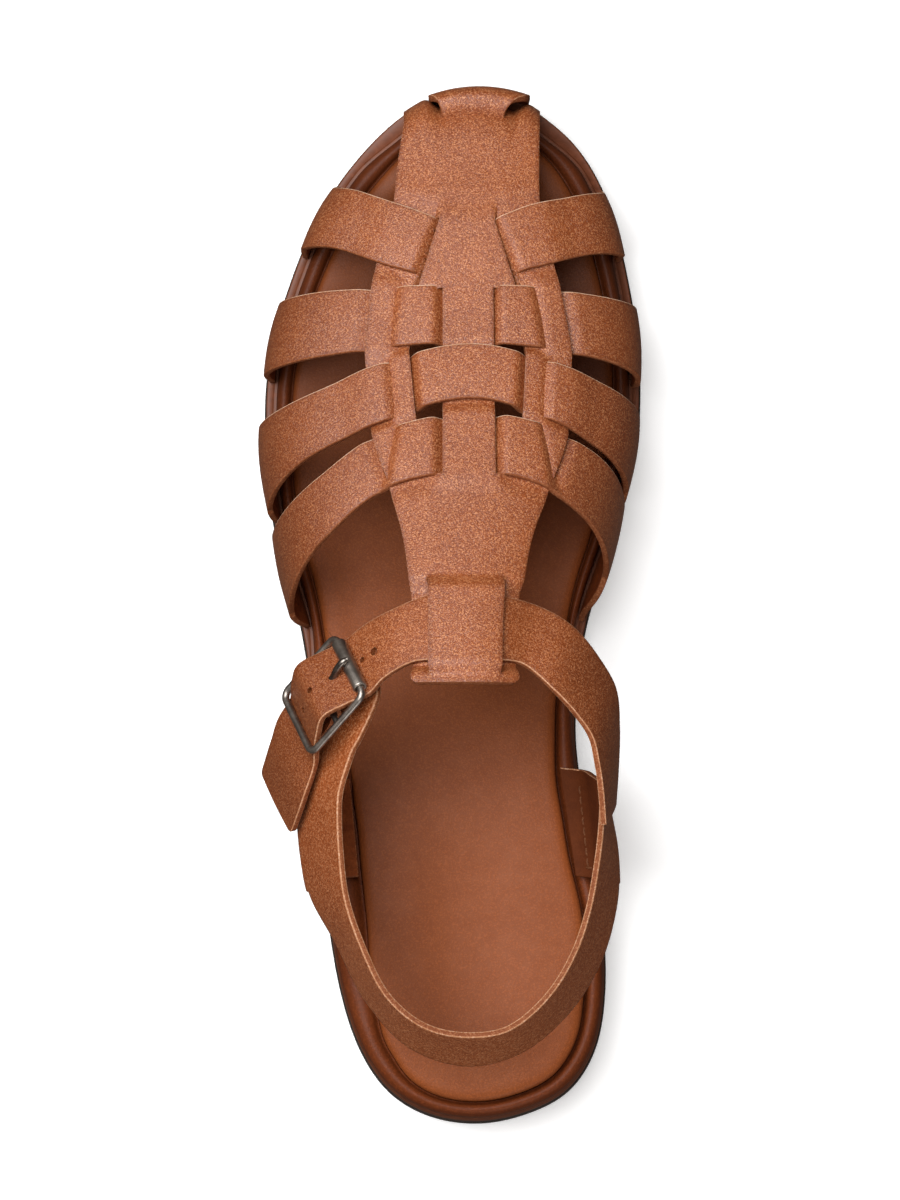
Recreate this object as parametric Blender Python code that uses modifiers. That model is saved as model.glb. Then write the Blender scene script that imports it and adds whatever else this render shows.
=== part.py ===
"""Walking sandal for the left foot: a woven leather upper on a layered sole.

Sizes in the tables are millimetres; the objects are in metres.
+X is the medial side, +Y points to the toe, +Z is up, the floor is z = 0.
"""
import math
from collections import namedtuple

import bpy
import bmesh
from mathutils import Matrix, Vector

for item in list(bpy.data.objects):
    bpy.data.objects.remove(item)

MM = 0.001
WELD_DISTANCE = 0.000001

# Driving dimensions
HALF_LENGTH = 140.0
LEATHER = 2.0
CLEARANCE = 0.3
OUTSOLE_THICKNESS = 4.5
OUTSOLE_LIP = 0.8
GROOVE_DEPTH = 1.8
GROOVE_WIDTH = 2.6
GROOVE_PITCH = 10.0
GROOVE_LENGTH = 140.0
FOREFOOT_GROOVES = 8
FOREFOOT_FIRST_GROOVE = 96.0
HEEL_GROOVES = 6
HEEL_FIRST_GROOVE = -76.0
SOLE_EDGE_ROUND = 1.0
TOE_SPRING = 5.0
TOE_SPRING_START = 78.0
ARCH_RISE = 2.2
LEDGE_FOREFOOT = 11.0
LEDGE_HEEL = 17.0
WELT_STEP = 0.8
ROLL_HEIGHT = 6.0
SEAT_DEPTH = 2.4
PAD_ABOVE_ROLL_FOREFOOT = 0.8
PAD_ABOVE_ROLL_HEEL = 2.8
STRAP_BASE_INSET = 1.7
TOE_CAP_INSET = 3.6
FULLNESS = 2.2
WEAVE_LIFT = 1.6
SLOT_LIFT = 2.65
SLOT_WIDTH = 1.0
SLOT_PLACES = (0.169, 0.829)
CAP_REACH = 0.8
CAP_BELLY = 0.78
WIRE_RADIUS = 0.95
BAR_RADIUS = 0.8
PIN_RADIUS = 0.75
PIN_HOLE_RADIUS = 1.15
WIRE_CORNER = 2.4
CORNER_STEPS = 3
ROLLER_RADIUS = 1.7
BUCKLE_HALF_LENGTH = 11.7
BUCKLE_HALF_WIDTH = 11.2
STRAP_HALF_WIDTH = 9.4
SOLE_STATIONS = 36

# Plan of the outsole: y, then the x of the lateral and of the medial edge
Edge = namedtuple("Edge", "y lateral medial")
OUTLINE = [
    Edge(140.0, 6.5, 6.5),
    Edge(133.0, -12.8, 24.9),
    Edge(124.2, -22.5, 34.6),
    Edge(113.0, -31.3, 41.4),
    Edge(92.5, -41.6, 47.5),
    Edge(59.0, -49.9, 51.6),
    Edge(46.0, -50.1, 51.0),
    Edge(23.0, -48.0, 46.0),
    Edge(-6.0, -40.4, 36.9),
    Edge(-33.0, -36.7, 34.0),
    Edge(-60.0, -35.2, 37.3),
    Edge(-90.0, -32.3, 41.8),
    Edge(-105.0, -29.5, 42.0),
    Edge(-119.7, -24.6, 39.4),
    Edge(-132.0, -16.0, 31.2),
    Edge(-138.8, -3.0, 16.1),
    Edge(-140.0, 6.6, 6.6),
]

# How far inside the outsole edge the insole pad ends
PAD_INSET = [
    Edge(140.0, 9.0, 9.0),
    Edge(60.0, 7.6, 7.6),
    Edge(10.0, 6.6, 6.2),
    Edge(-10.0, 5.9, 5.3),
    Edge(-33.0, 7.5, 5.6),
    Edge(-50.0, 9.4, 6.8),
    Edge(-65.0, 10.2, 6.6),
    Edge(-85.0, 10.4, 5.6),
    Edge(-105.0, 9.0, 5.8),
    Edge(-125.0, 6.5, 5.4),
    Edge(-140.0, 4.8, 4.8),
]

# How far inside the outsole edge the roll of the footbed starts
ROLL_INSET = [
    Edge(140.0, 5.3, 5.3),
    Edge(131.0, 5.0, 5.0),
    Edge(118.0, 3.3, 3.3),
    Edge(20.0, 3.1, 3.1),
    Edge(-6.0, 3.0, 3.0),
    Edge(-20.0, 2.0, 2.0),
    Edge(-35.0, 1.4, 1.4),
    Edge(-140.0, 1.4, 1.4),
]

# Sections of the last: outer walls, ridge position and height, height of the widest point
Section = namedtuple("Section", "y lateral medial ridge_x ridge_z wall_z")
LAST = [
    Section(124.0, -22.5, 34.6, 5.6, 34.0, 20.0),
    Section(112.0, -31.9, 41.5, 5.4, 40.5, 24.0),
    Section(95.0, -40.8, 47.2, 5.0, 46.0, 26.0),
    Section(80.0, -46.6, 50.6, 4.8, 50.0, 27.0),
    Section(61.0, -50.7, 51.9, 4.8, 55.5, 28.0),
    Section(45.0, -52.0, 51.3, 5.0, 61.0, 28.0),
    Section(25.0, -49.8, 47.5, 5.0, 68.5, 28.0),
    Section(8.0, -46.6, 43.4, 4.6, 75.5, 28.0),
    Section(-8.0, -43.0, 39.0, 4.1, 82.0, 28.0),
    Section(-27.0, -42.0, 40.0, 4.1, 89.5, 28.0),
]

# Cross straps: position round the last (2 = foot of the wall, 1 = widest point, 0 = ridge),
# then the y of the front and rear edges of straps 1 to 4
StrapRow = namedtuple("StrapRow", "place front1 rear1 front2 rear2 front3 rear3 front4 rear4")
STRAPS = [
    StrapRow(-2.0, 113.1, 93.9, 81.6, 60.1, 46.4, 21.5, 18.7, -6.5),
    StrapRow(-1.0, 111.8, 95.1, 80.4, 60.9, 46.8, 24.3, 17.0, -3.6),
    StrapRow(-0.5, 109.4, 93.6, 82.6, 64.5, 55.0, 38.2, 31.4, 15.0),
    StrapRow(-0.25, 105.0, 88.4, 83.0, 66.3, 61.8, 45.5, 42.8, 27.0),
    StrapRow(0.0, 100.6, 84.8, 83.4, 67.3, 67.0, 51.9, 47.7, 31.5),
    StrapRow(0.25, 105.4, 88.4, 83.0, 66.3, 63.2, 47.4, 45.2, 28.8),
    StrapRow(0.5, 108.4, 92.2, 81.6, 64.3, 58.2, 40.9, 38.9, 21.6),
    StrapRow(1.0, 110.6, 93.2, 79.1, 59.6, 49.5, 29.2, 24.9, 6.1),
    StrapRow(2.0, 111.9, 93.0, 79.5, 58.9, 49.8, 26.9, 25.1, -4.7),
]

# Weave: x of the slits from lateral to medial; the strap starts over (1) or under (-1) and alternates
WEAVE = {
    1: (1, (-6.0, 15.0)),
    2: (-1, (-15.0, -2.0, 11.5, 24.3)),
    3: (1, (-15.5, -9.8, 19.6, 25.4)),
    4: (-1, (-14.5, -2.0, 12.0, 24.0)),
}

# Spine: y, then the x of its lateral and medial edges
SPINE = [
    Edge(122.0, -13.8, 23.9),
    Edge(107.6, -15.0, 24.1),
    Edge(88.2, -20.1, 28.3),
    Edge(77.7, -21.6, 30.3),
    Edge(60.6, -22.7, 32.7),
    Edge(42.9, -20.9, 31.4),
    Edge(29.5, -16.9, 27.4),
    Edge(13.3, -12.4, 21.7),
    Edge(1.7, -10.9, 19.6),
    Edge(-8.0, -10.5, 18.6),
    Edge(-27.0, -10.3, 18.2),
]
SPINE_END = -26.5
SPINE_CAP_START = 112.0
SLOT_FRONT = 2.0
SLOT_REAR = -24.5
STRAP_FRONT = -2.3
STRAP_REAR = -20.2

# Toe loop: y, height and half width of the strip that arches over the toe
LoopRow = namedtuple("LoopRow", "y z half_width")
TOE_LOOP = [
    LoopRow(123.0, 35.2, 8.2),
    LoopRow(129.5, 33.6, 8.6),
    LoopRow(135.5, 29.0, 10.2),
    LoopRow(138.4, 24.0, 12.0),
    LoopRow(138.6, 19.5, 12.8),
    LoopRow(138.2, 16.4, 12.8),
]
TOE_LOOP_X = 7.4

# A band is given by its upper and lower edge at each station
Station = namedtuple("Station", "ux uy uz lx ly lz")
ANKLE_TAIL = [
    Station(-42.3, -64.8, 54.0, -50.3, -47.6, 43.0),
    Station(-38.9, -55.7, 63.0, -47.6, -39.4, 51.5),
]
ANKLE_LATERAL = [
    Station(-18.0, -25.4, 83.0, -23.6, -10.6, 72.0),
]
# Points where the strap lies on the last: x and y of the upper edge, x and y of the lower edge
Crossing = namedtuple("Crossing", "ux uy lx ly")
ANKLE_TONGUE = [
    Crossing(-10.6, -21.0, -15.0, -6.0),
    Crossing(-5.6, -20.2, -5.8, -2.4),
    Crossing(4.0, -20.0, 4.0, -2.3),
    Crossing(13.2, -20.2, 13.6, -2.6),
    Crossing(19.6, -21.2, 23.0, -4.8),
]
ANKLE_MEDIAL = [
    Station(28.0, -28.4, 82.4, 32.6, -10.2, 72.2),
    Station(33.8, -34.6, 80.0, 39.8, -18.6, 68.0),
    Station(37.6, -40.0, 78.0, 44.0, -26.0, 64.2),
    Station(39.5, -47.5, 76.0, 45.0, -36.5, 60.2),
    Station(40.6, -55.5, 74.4, 44.6, -48.6, 56.4),
    Station(41.2, -63.6, 72.6, 44.0, -57.0, 54.6),
]

HEEL_BAND = [
    Station(-26.8, -46.4, 73.0, -38.8, -45.4, 55.0),
    Station(-29.3, -55.0, 72.4, -40.3, -53.5, 52.5),
    Station(-29.6, -62.5, 72.0, -40.2, -62.0, 51.0),
    Station(-29.2, -71.0, 72.0, -39.3, -71.0, 49.5),
    Station(-28.0, -81.8, 72.0, -37.5, -80.0, 48.0),
    Station(-23.3, -96.5, 73.0, -30.4, -93.4, 48.0),
    Station(-16.3, -110.0, 74.0, -22.0, -109.6, 48.5),
    Station(-6.4, -117.9, 75.0, -9.8, -122.2, 49.0),
    Station(4.2, -120.2, 75.0, 5.0, -126.6, 49.0),
    Station(14.8, -118.8, 75.0, 18.2, -123.4, 49.0),
    Station(24.7, -111.2, 74.0, 30.0, -114.2, 48.5),
    Station(33.2, -98.0, 73.0, 39.6, -100.0, 48.0),
    Station(37.3, -85.5, 72.0, 43.6, -87.6, 47.5),
    Station(38.6, -74.5, 72.0, 44.9, -77.7, 47.0),
    Station(38.7, -66.8, 72.0, 44.5, -68.5, 47.6),
    Station(38.0, -59.0, 72.0, 43.0, -60.0, 48.8),
    Station(37.0, -51.0, 72.6, 41.0, -50.8, 50.6),
]
# The end that carries the buckle: its upper edge, and its lower edge in the axes of the buckle
EndRow = namedtuple("EndRow", "ux uy uz along across")
BUCKLE_END = [
    EndRow(-20.6, -24.4, 76.6, -11.5, 0.0),
    EndRow(-19.0, -28.4, 77.0, -9.5, -7.0),
    EndRow(-20.4, -33.0, 76.6, -5.0, -9.0),
    EndRow(-23.2, -39.0, 75.0, 1.5, -9.2),
]
BUCKLE_END_DEPTH = -5.8
HEEL_LATERAL_EAR = (1, 4)
HEEL_MEDIAL_EAR = (13, 16)
HEEL_STEPS = 2

# Ears go down from the heel band: front and rear point of each row
EarRow = namedtuple("EarRow", "fx fy fz rx ry rz")
LATERAL_EAR = [
    EarRow(-40.0, -52.0, 43.0, -37.4, -79.0, 41.0),
    EarRow(-38.0, -50.2, 34.0, -36.0, -77.2, 34.0),
    EarRow(-35.6, -49.0, 28.0, -33.8, -75.6, 28.0),
    EarRow(-33.0, -48.4, 25.6, -31.2, -75.0, 25.6),
    EarRow(-29.6, -48.2, 25.0, -27.6, -74.8, 25.0),
    EarRow(-27.0, -48.0, 24.8, -24.6, -74.6, 24.8),
]
MEDIAL_EAR = [
    EarRow(40.2, -49.4, 43.0, 44.2, -77.0, 41.0),
    EarRow(38.4, -47.6, 34.0, 42.2, -76.0, 34.0),
    EarRow(36.4, -46.0, 28.2, 39.8, -75.2, 28.2),
    EarRow(33.8, -45.4, 25.7, 37.0, -74.8, 25.7),
    EarRow(31.6, -45.2, 25.0, 35.6, -74.6, 25.0),
    EarRow(29.6, -45.0, 24.8, 34.0, -74.4, 24.8),
]

# Buckle corners on the wire: front low, front high, rear high, rear low
BUCKLE_CORNERS = [
    Vector((-31.4, -12.4, 70.2)),
    Vector((-22.9, -29.8, 84.2)),
    Vector((-37.0, -44.8, 73.2)),
    Vector((-44.7, -27.1, 59.2)),
]


def slope(values, points, index):
    """Tangent of a smooth curve at one row of a table."""
    low = max(index - 1, 0)
    high = min(index + 1, len(points) - 1)
    if low == index or high == index:
        return (values[high] - values[low]) / (points[high] - points[low])
    left = (values[index] - values[low]) / (points[index] - points[low])
    right = (values[high] - values[index]) / (points[high] - points[index])
    before = points[index] - points[low]
    after = points[high] - points[index]
    return (left * after + right * before) / (before + after)


def smooth_value(points, values, place):
    """Value of the smooth curve through a table whose points rise or fall steadily."""
    if points[0] > points[-1]:
        points = points[::-1]
        values = values[::-1]
    place = min(max(place, points[0]), points[-1])
    index = 0
    while index < len(points) - 2 and place > points[index + 1]:
        index += 1
    span = points[index + 1] - points[index]
    t = (place - points[index]) / span
    start = slope(values, points, index) * span
    end = slope(values, points, index + 1) * span
    a = 2 * t ** 3 - 3 * t ** 2 + 1
    b = t ** 3 - 2 * t ** 2 + t
    c = -2 * t ** 3 + 3 * t ** 2
    d = t ** 3 - t ** 2
    return a * values[index] + b * start + c * values[index + 1] + d * end


def table_value(table, key, column, place):
    points = [getattr(row, key) for row in table]
    values = [getattr(row, column) for row in table]
    return smooth_value(points, values, place)


def even_value(table, column, y):
    """Value between two rows of a table by an even blend, which never overshoots."""
    rows = sorted(table)
    y = min(max(y, rows[0].y), rows[-1].y)
    for low, high in zip(rows, rows[1:]):
        if y <= high.y:
            part = blend(low.y, high.y, y)
            return getattr(low, column) * (1 - part) + getattr(high, column) * part
    return getattr(rows[-1], column)


def blend(low, high, place):
    """0 below low, 1 above high, smooth between."""
    t = min(max((place - low) / (high - low), 0.0), 1.0)
    return t * t * (3 - 2 * t)


# Heights along the sole
def bottom(y):
    spring = max(0.0, (y - TOE_SPRING_START) / (HALF_LENGTH - TOE_SPRING_START)) ** 2 * TOE_SPRING
    arch = blend(-66.0, -30.0, y) * (1.0 - blend(-22.0, 16.0, y)) * ARCH_RISE
    return spring + arch


def ledge(y):
    level = LEDGE_HEEL + (LEDGE_FOREFOOT - LEDGE_HEEL) * blend(-70.0, 40.0, y)
    spring = max(0.0, (y - TOE_SPRING_START) / (HALF_LENGTH - TOE_SPRING_START)) ** 2 * TOE_SPRING
    return level + spring


def pad_top(y):
    extra = PAD_ABOVE_ROLL_HEEL + (PAD_ABOVE_ROLL_FOREFOOT - PAD_ABOVE_ROLL_HEEL) * blend(-60.0, 30.0, y)
    return ledge(y) + ROLL_HEIGHT + extra


def outline_x(side, y):
    """Edge of the outsole; the angle round the length keeps toe and heel round."""
    column = "lateral" if side < 0 else "medial"
    angles = [math.acos(row.y / HALF_LENGTH) for row in OUTLINE]
    values = [getattr(row, column) for row in OUTLINE]
    place = math.acos(min(max(y / HALF_LENGTH, -1.0), 1.0))
    return smooth_value(angles, values, place)


def inset_value(table, side, y):
    return even_value(table, "lateral" if side < 0 else "medial", y)


def sole_loop():
    """Outsole edge as a closed loop: toe tip, lateral side, heel, medial side."""
    angles = [math.pi * step / SOLE_STATIONS for step in range(SOLE_STATIONS + 1)]
    heights = [HALF_LENGTH * math.cos(angle) for angle in angles]
    lateral = [(outline_x(-1, y), y, -1) for y in heights]
    medial = [(outline_x(1, y), y, 1) for y in heights[1:-1]]
    return lateral + medial[::-1]


def inset_loop(inset):
    """The outsole edge moved inwards; the amount may differ along the edge."""
    loop = sole_loop()
    count = len(loop)
    moved = []
    for index, (x, y, side) in enumerate(loop):
        ahead = loop[(index + 1) % count]
        behind = loop[index - 1]
        along = Vector((ahead[0] - behind[0], ahead[1] - behind[1]))
        along.normalize()
        amount = inset(side, y) if callable(inset) else inset
        moved.append((x - along.y * amount, y + along.x * amount))
    return moved


def add_object(name, mesh):
    item = bpy.data.objects.new(name, mesh)
    PARTS.objects.link(item)
    return item


def to_solid(item, material):
    """Mesh object with an object's evaluated shape, welded, in triangles and with its faces outwards."""
    depsgraph = bpy.context.evaluated_depsgraph_get()
    mesh = bpy.data.meshes.new_from_object(item.evaluated_get(depsgraph))
    shape = bmesh.new()
    shape.from_mesh(mesh)
    bmesh.ops.remove_doubles(shape, verts=shape.verts, dist=WELD_DISTANCE)
    bmesh.ops.recalc_face_normals(shape, faces=shape.faces)
    bmesh.ops.triangulate(shape, faces=shape.faces)
    shape.to_mesh(mesh)
    shape.free()
    name = item.name
    placement = item.matrix_world.copy()
    bpy.data.objects.remove(item)
    solid = add_object(name, mesh)
    solid.matrix_world = placement
    mesh.materials.clear()
    mesh.materials.append(material)
    return solid


def loft(name, vertices, faces):
    mesh = bpy.data.meshes.new(name)
    mesh.from_pydata([Vector(vertex) * MM for vertex in vertices], [], faces)
    return add_object(name, mesh)


def layered_solid(name, rings, material):
    """Solid through rings of the sole plan; each ring is an inset and a height function."""
    vertices = []
    faces = []
    count = 2 * SOLE_STATIONS
    for inset, height in rings:
        for x, y in inset_loop(inset):
            vertices.append((x, y, height(y)))
    for level in range(len(rings) - 1):
        for index in range(count):
            after = (index + 1) % count
            low = level * count
            high = low + count
            faces.append((low + index, low + after, high + after, high + index))
    for first in (0, (len(rings) - 1) * count):
        faces.append((first, first + 1, first + count - 1))
        for step in range(1, SOLE_STATIONS - 1):
            left = first + step
            right = first + count - step
            faces.append((left, left + 1, right - 1, right))
        middle = first + SOLE_STATIONS
        faces.append((middle - 1, middle, middle + 1))
    return to_solid(loft(name, vertices, faces), material)


def sheet_solid(name, points, quads, thickness, material):
    """Leather of even thickness about a sheet of quads."""
    sheet = loft(name, points, quads)
    solidify = sheet.modifiers.new("leather", "SOLIDIFY")
    solidify.thickness = thickness * MM
    solidify.offset = 0.0
    return to_solid(sheet, material)


def grid_quads(rows, columns):
    quads = []
    for i in range(rows - 1):
        for j in range(columns - 1):
            first = i * columns + j
            quads.append((first, first + 1, first + columns + 1, first + columns))
    return quads


def join(target, other, operation):
    """Combine one solid into another and remove it."""
    modifier = target.modifiers.new("combine", "BOOLEAN")
    modifier.operation = operation
    modifier.solver = "EXACT"
    modifier.object = other
    depsgraph = bpy.context.evaluated_depsgraph_get()
    result = bpy.data.meshes.new_from_object(target.evaluated_get(depsgraph))
    target.modifiers.remove(modifier)
    target.data = result
    bpy.data.objects.remove(other)


def make_material(name, colour, roughness, metallic=0.0):
    material = bpy.data.materials.new(name)
    material.use_nodes = True
    shader = material.node_tree.nodes["Principled BSDF"]
    shader.inputs["Base Color"].default_value = (*colour, 1.0)
    shader.inputs["Roughness"].default_value = roughness
    shader.inputs["Metallic"].default_value = metallic
    material.diffuse_color = (*colour, 1.0)
    return material


# The last that the straps follow
def last_point(y, place):
    """Point of the leather's middle: place 0 is the ridge, 1 the widest point, 2 the wall's foot."""
    side = -1 if place < 0 else 1
    wall = table_value(LAST, "y", "lateral" if side < 0 else "medial", y) - side * LEATHER / 2
    ridge_x = table_value(LAST, "y", "ridge_x", y)
    ridge_z = table_value(LAST, "y", "ridge_z", y)
    wall_z = table_value(LAST, "y", "wall_z", y)
    amount = abs(place)
    if amount <= 1.0:
        angle = amount * math.pi / 2
        across = math.sin(angle) ** (2 / FULLNESS)
        upward = max(math.cos(angle), 0.0) ** (2 / FULLNESS)
        return Vector((ridge_x + (wall - ridge_x) * across, y, wall_z + (ridge_z - wall_z) * upward))
    foot_x = outline_x(side, y) - side * STRAP_BASE_INSET
    foot_z = ledge(y) + CLEARANCE
    down = amount - 1.0
    return Vector((wall + (foot_x - wall) * blend(0, 1, down), y, wall_z + (foot_z - wall_z) * down))


def place_at(x, y):
    """Position round the last of a point with the given x."""
    ridge_x = table_value(LAST, "y", "ridge_x", y)
    side = -1 if x < ridge_x else 1
    wall = table_value(LAST, "y", "lateral" if side < 0 else "medial", y) - side * LEATHER / 2
    across = min(abs((x - ridge_x) / (wall - ridge_x)), 1.0)
    return side * math.asin(across ** (FULLNESS / 2)) * 2 / math.pi


def on_last(x, y):
    return last_point(y, place_at(x, y))


def last_normal(y, place):
    step = 0.03
    along = last_point(y + 1.0, place) - last_point(y - 1.0, place)
    across = last_point(y, place + step) - last_point(y, place - step)
    normal = across.cross(along)
    return normal.normalized()


def weave_level(row, x, y):
    """1 where the strap lies over the spine, -1 where it runs under, 0 beside it."""
    first, slits = WEAVE[row]
    low = table_value(SPINE, "y", "lateral", y) - 2.0
    high = table_value(SPINE, "y", "medial", y) + 2.0
    level = first * (blend(low - 2.0, low + 2.0, x) - blend(high - 2.0, high + 2.0, x))
    sign = first
    for slit in slits:
        level -= 2 * sign * blend(slit - 1.6, slit + 1.6, x)
        sign = -sign
    return level


def cross_strap(row, material):
    places = [-2.0 + 0.25 * step for step in range(4)]
    places += [-1.0 + 2.0 * step / 30 for step in range(31)]
    places += [1.25 + 0.25 * step for step in range(4)]
    points = []
    for place in places:
        front = table_value(STRAPS, "place", "front%d" % row, place)
        rear = table_value(STRAPS, "place", "rear%d" % row, place)
        for step in range(3):
            y = front + (rear - front) * step / 2
            point = last_point(y, place)
            if abs(place) < 1.0:
                point += last_normal(y, place) * weave_level(row, point.x, y) * WEAVE_LIFT
            points.append(point)
    return sheet_solid("strap%d" % row, points, grid_quads(len(places), 3), LEATHER, material)


def toe_edge(x, inset):
    """y of the moved outsole edge at the toe for a given x."""
    loop = [point for point in inset_loop(inset) if point[1] > 60.0]
    loop.sort()
    for left, right in zip(loop, loop[1:]):
        if left[0] <= x <= right[0]:
            part = (x - left[0]) / (right[0] - left[0])
            return left[1] + (right[1] - left[1]) * part
    return loop[-1][1]


def spine_level(middle, y):
    """The tongue's middle rises over the ankle strap and its sides pass under it."""
    inside = blend(SLOT_REAR, STRAP_REAR - 1.0, y) * (1.0 - blend(STRAP_FRONT + 1.0, SLOT_FRONT + 1.5, y))
    return SLOT_LIFT * inside if middle else -SLOT_LIFT * inside


def spine(material):
    """Long piece from the tongue tab to the toe, with the two slots for the ankle strap."""
    low, high = SLOT_PLACES
    parts = [0.0, low / 2, low]
    parts += [low + (high - low) * step / 6 for step in range(7)]
    parts += [high, (high + 1.0) / 2, 1.0]
    slots = (2, 9)
    rows = [SPINE_END, SLOT_REAR, -22.6, -20.6, -16.0, -11.0, -6.0, -2.0, 0.0, SLOT_FRONT]
    rows += [SLOT_FRONT + (SPINE_CAP_START - SLOT_FRONT) * step / 20 for step in range(1, 21)]
    points = []
    count = len(parts)
    for y in rows:
        left = table_value(SPINE, "y", "lateral", y)
        right = table_value(SPINE, "y", "medial", y)
        open_here = SLOT_REAR < y < SLOT_FRONT
        for index, part in enumerate(parts):
            x = left + (right - left) * part
            if open_here and index in slots:
                x -= SLOT_WIDTH / 2
            if open_here and index - 1 in slots:
                x += SLOT_WIDTH / 2
            place = place_at(x, y)
            middle = slots[0] < index <= slots[1]
            level = spine_level(middle, y) if open_here else 0.0
            points.append(last_point(y, place) + last_normal(y, place) * level)
    cap_left = table_value(SPINE, "y", "lateral", SPINE_CAP_START)
    cap_right = table_value(SPINE, "y", "medial", SPINE_CAP_START)
    cap_steps = 8
    for step in range(1, cap_steps + 1):
        t = step / cap_steps
        for part in parts:
            x = cap_left + (cap_right - cap_left) * part
            start = on_last(x, SPINE_CAP_START)
            before = on_last(x, SPINE_CAP_START - 3.0)
            end_y = toe_edge(x, TOE_CAP_INSET)
            end = Vector((x, end_y, ledge(end_y) + CLEARANCE))
            reach = (end_y - SPINE_CAP_START) * CAP_REACH
            lean = (start.z - before.z) / 3.0
            first = Vector((x, SPINE_CAP_START + reach, start.z + lean * reach))
            second = Vector((x, end_y, end.z + (start.z - end.z) * CAP_BELLY))
            a = (1 - t) ** 3
            b = 3 * (1 - t) ** 2 * t
            c = 3 * (1 - t) * t ** 2
            points.append(start * a + first * b + second * c + end * t ** 3)
    quads = []
    total = len(points) // count
    for i in range(total - 1):
        for j in range(count - 1):
            if j in slots:
                continue
            first = i * count + j
            quads.append([first, first + 1, first + count + 1, first + count])
    shared = {}
    for i in range(total):
        y = rows[i] if i < len(rows) else HALF_LENGTH
        for slot in slots:
            if not SLOT_REAR < y < SLOT_FRONT:
                shared[i * count + slot + 1] = i * count + slot
    quads = [[shared.get(index, index) for index in quad] for quad in quads]
    used = sorted({index for quad in quads for index in quad})
    order = {index: number for number, index in enumerate(used)}
    quads = [tuple(order[index] for index in quad) for quad in quads]
    return sheet_solid("upper", [points[index] for index in used], quads, LEATHER, material)


def toe_loop(material):
    points = []
    lengths = [0.0]
    for before, after in zip(TOE_LOOP, TOE_LOOP[1:]):
        lengths.append(lengths[-1] + math.hypot(after.y - before.y, after.z - before.z))
    steps = 14
    for step in range(steps + 1):
        place = lengths[-1] * step / steps
        y = smooth_value(lengths, [row.y for row in TOE_LOOP], place)
        z = smooth_value(lengths, [row.z for row in TOE_LOOP], place)
        half = smooth_value(lengths, [row.half_width for row in TOE_LOOP], place)
        for column in range(5):
            across = half * (column / 2 - 1.0)
            points.append((TOE_LOOP_X - across, y - across ** 2 / 90.0, z - across ** 2 / 250.0))
    return sheet_solid("toe_loop", points, grid_quads(steps + 1, 5), LEATHER - 0.2, material)


# Axes of the buckle: along the strap, across it and out of the shoe
BUCKLE_CENTRE = sum(BUCKLE_CORNERS, Vector()) / 4
BUCKLE_ALONG = (BUCKLE_CORNERS[2] + BUCKLE_CORNERS[3] - BUCKLE_CORNERS[0] - BUCKLE_CORNERS[1]).normalized()
BUCKLE_OUT = (BUCKLE_CORNERS[1] - BUCKLE_CORNERS[0]).cross(BUCKLE_ALONG).normalized()
if BUCKLE_OUT.z < 0:
    BUCKLE_OUT = -BUCKLE_OUT
BUCKLE_ACROSS = BUCKLE_ALONG.cross(BUCKLE_OUT)
if BUCKLE_ACROSS.z < 0:
    BUCKLE_ACROSS = -BUCKLE_ACROSS


def at_buckle(along, across, out):
    return BUCKLE_CENTRE + BUCKLE_ALONG * along + BUCKLE_ACROSS * across + BUCKLE_OUT * out


def buckle_station(along, half_width, out):
    upper = at_buckle(along, half_width, out)
    lower = at_buckle(along, -half_width, out)
    return Station(upper.x, upper.y, upper.z, lower.x, lower.y, lower.z)


def band_points(stations, steps_between, columns):
    """Smooth band through its stations, with straight lines across."""
    lengths = [0.0]
    for before, after in zip(stations, stations[1:]):
        moves = [(a - b) ** 2 for a, b in zip(after, before)]
        lengths.append(lengths[-1] + math.sqrt(sum(moves)))
    points = []
    places = []
    for low, high in zip(lengths, lengths[1:]):
        places += [low + (high - low) * step / steps_between for step in range(steps_between)]
    places.append(lengths[-1])
    for place in places:
        row = [smooth_value(lengths, [station[i] for station in stations], place) for i in range(6)]
        upper = Vector(row[:3])
        lower = Vector(row[3:])
        for column in range(columns):
            points.append(upper.lerp(lower, column / (columns - 1)))
    return points, len(places)


def ankle_strap(material):
    stations = list(ANKLE_TAIL)
    stations.append(buckle_station(BUCKLE_HALF_LENGTH + 5.0, STRAP_HALF_WIDTH, -2.3))
    stations.append(buckle_station(BUCKLE_HALF_LENGTH, STRAP_HALF_WIDTH, -2.4))
    stations.append(buckle_station(BUCKLE_HALF_LENGTH / 2, STRAP_HALF_WIDTH, 1.6))
    stations.append(buckle_station(0.0, STRAP_HALF_WIDTH, 4.3))
    stations.append(buckle_station(-BUCKLE_HALF_LENGTH / 2, STRAP_HALF_WIDTH, 1.0))
    stations.append(buckle_station(-BUCKLE_HALF_LENGTH, STRAP_HALF_WIDTH, -3.1))
    stations += ANKLE_LATERAL
    for crossing in ANKLE_TONGUE:
        upper = on_last(crossing.ux, crossing.uy)
        lower = on_last(crossing.lx, crossing.ly)
        stations.append(Station(*upper, *lower))
    stations += ANKLE_MEDIAL
    points, rows = band_points(stations, 3, 3)
    return sheet_solid("ankle_strap", points, grid_quads(rows, 3), LEATHER, material)


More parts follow.
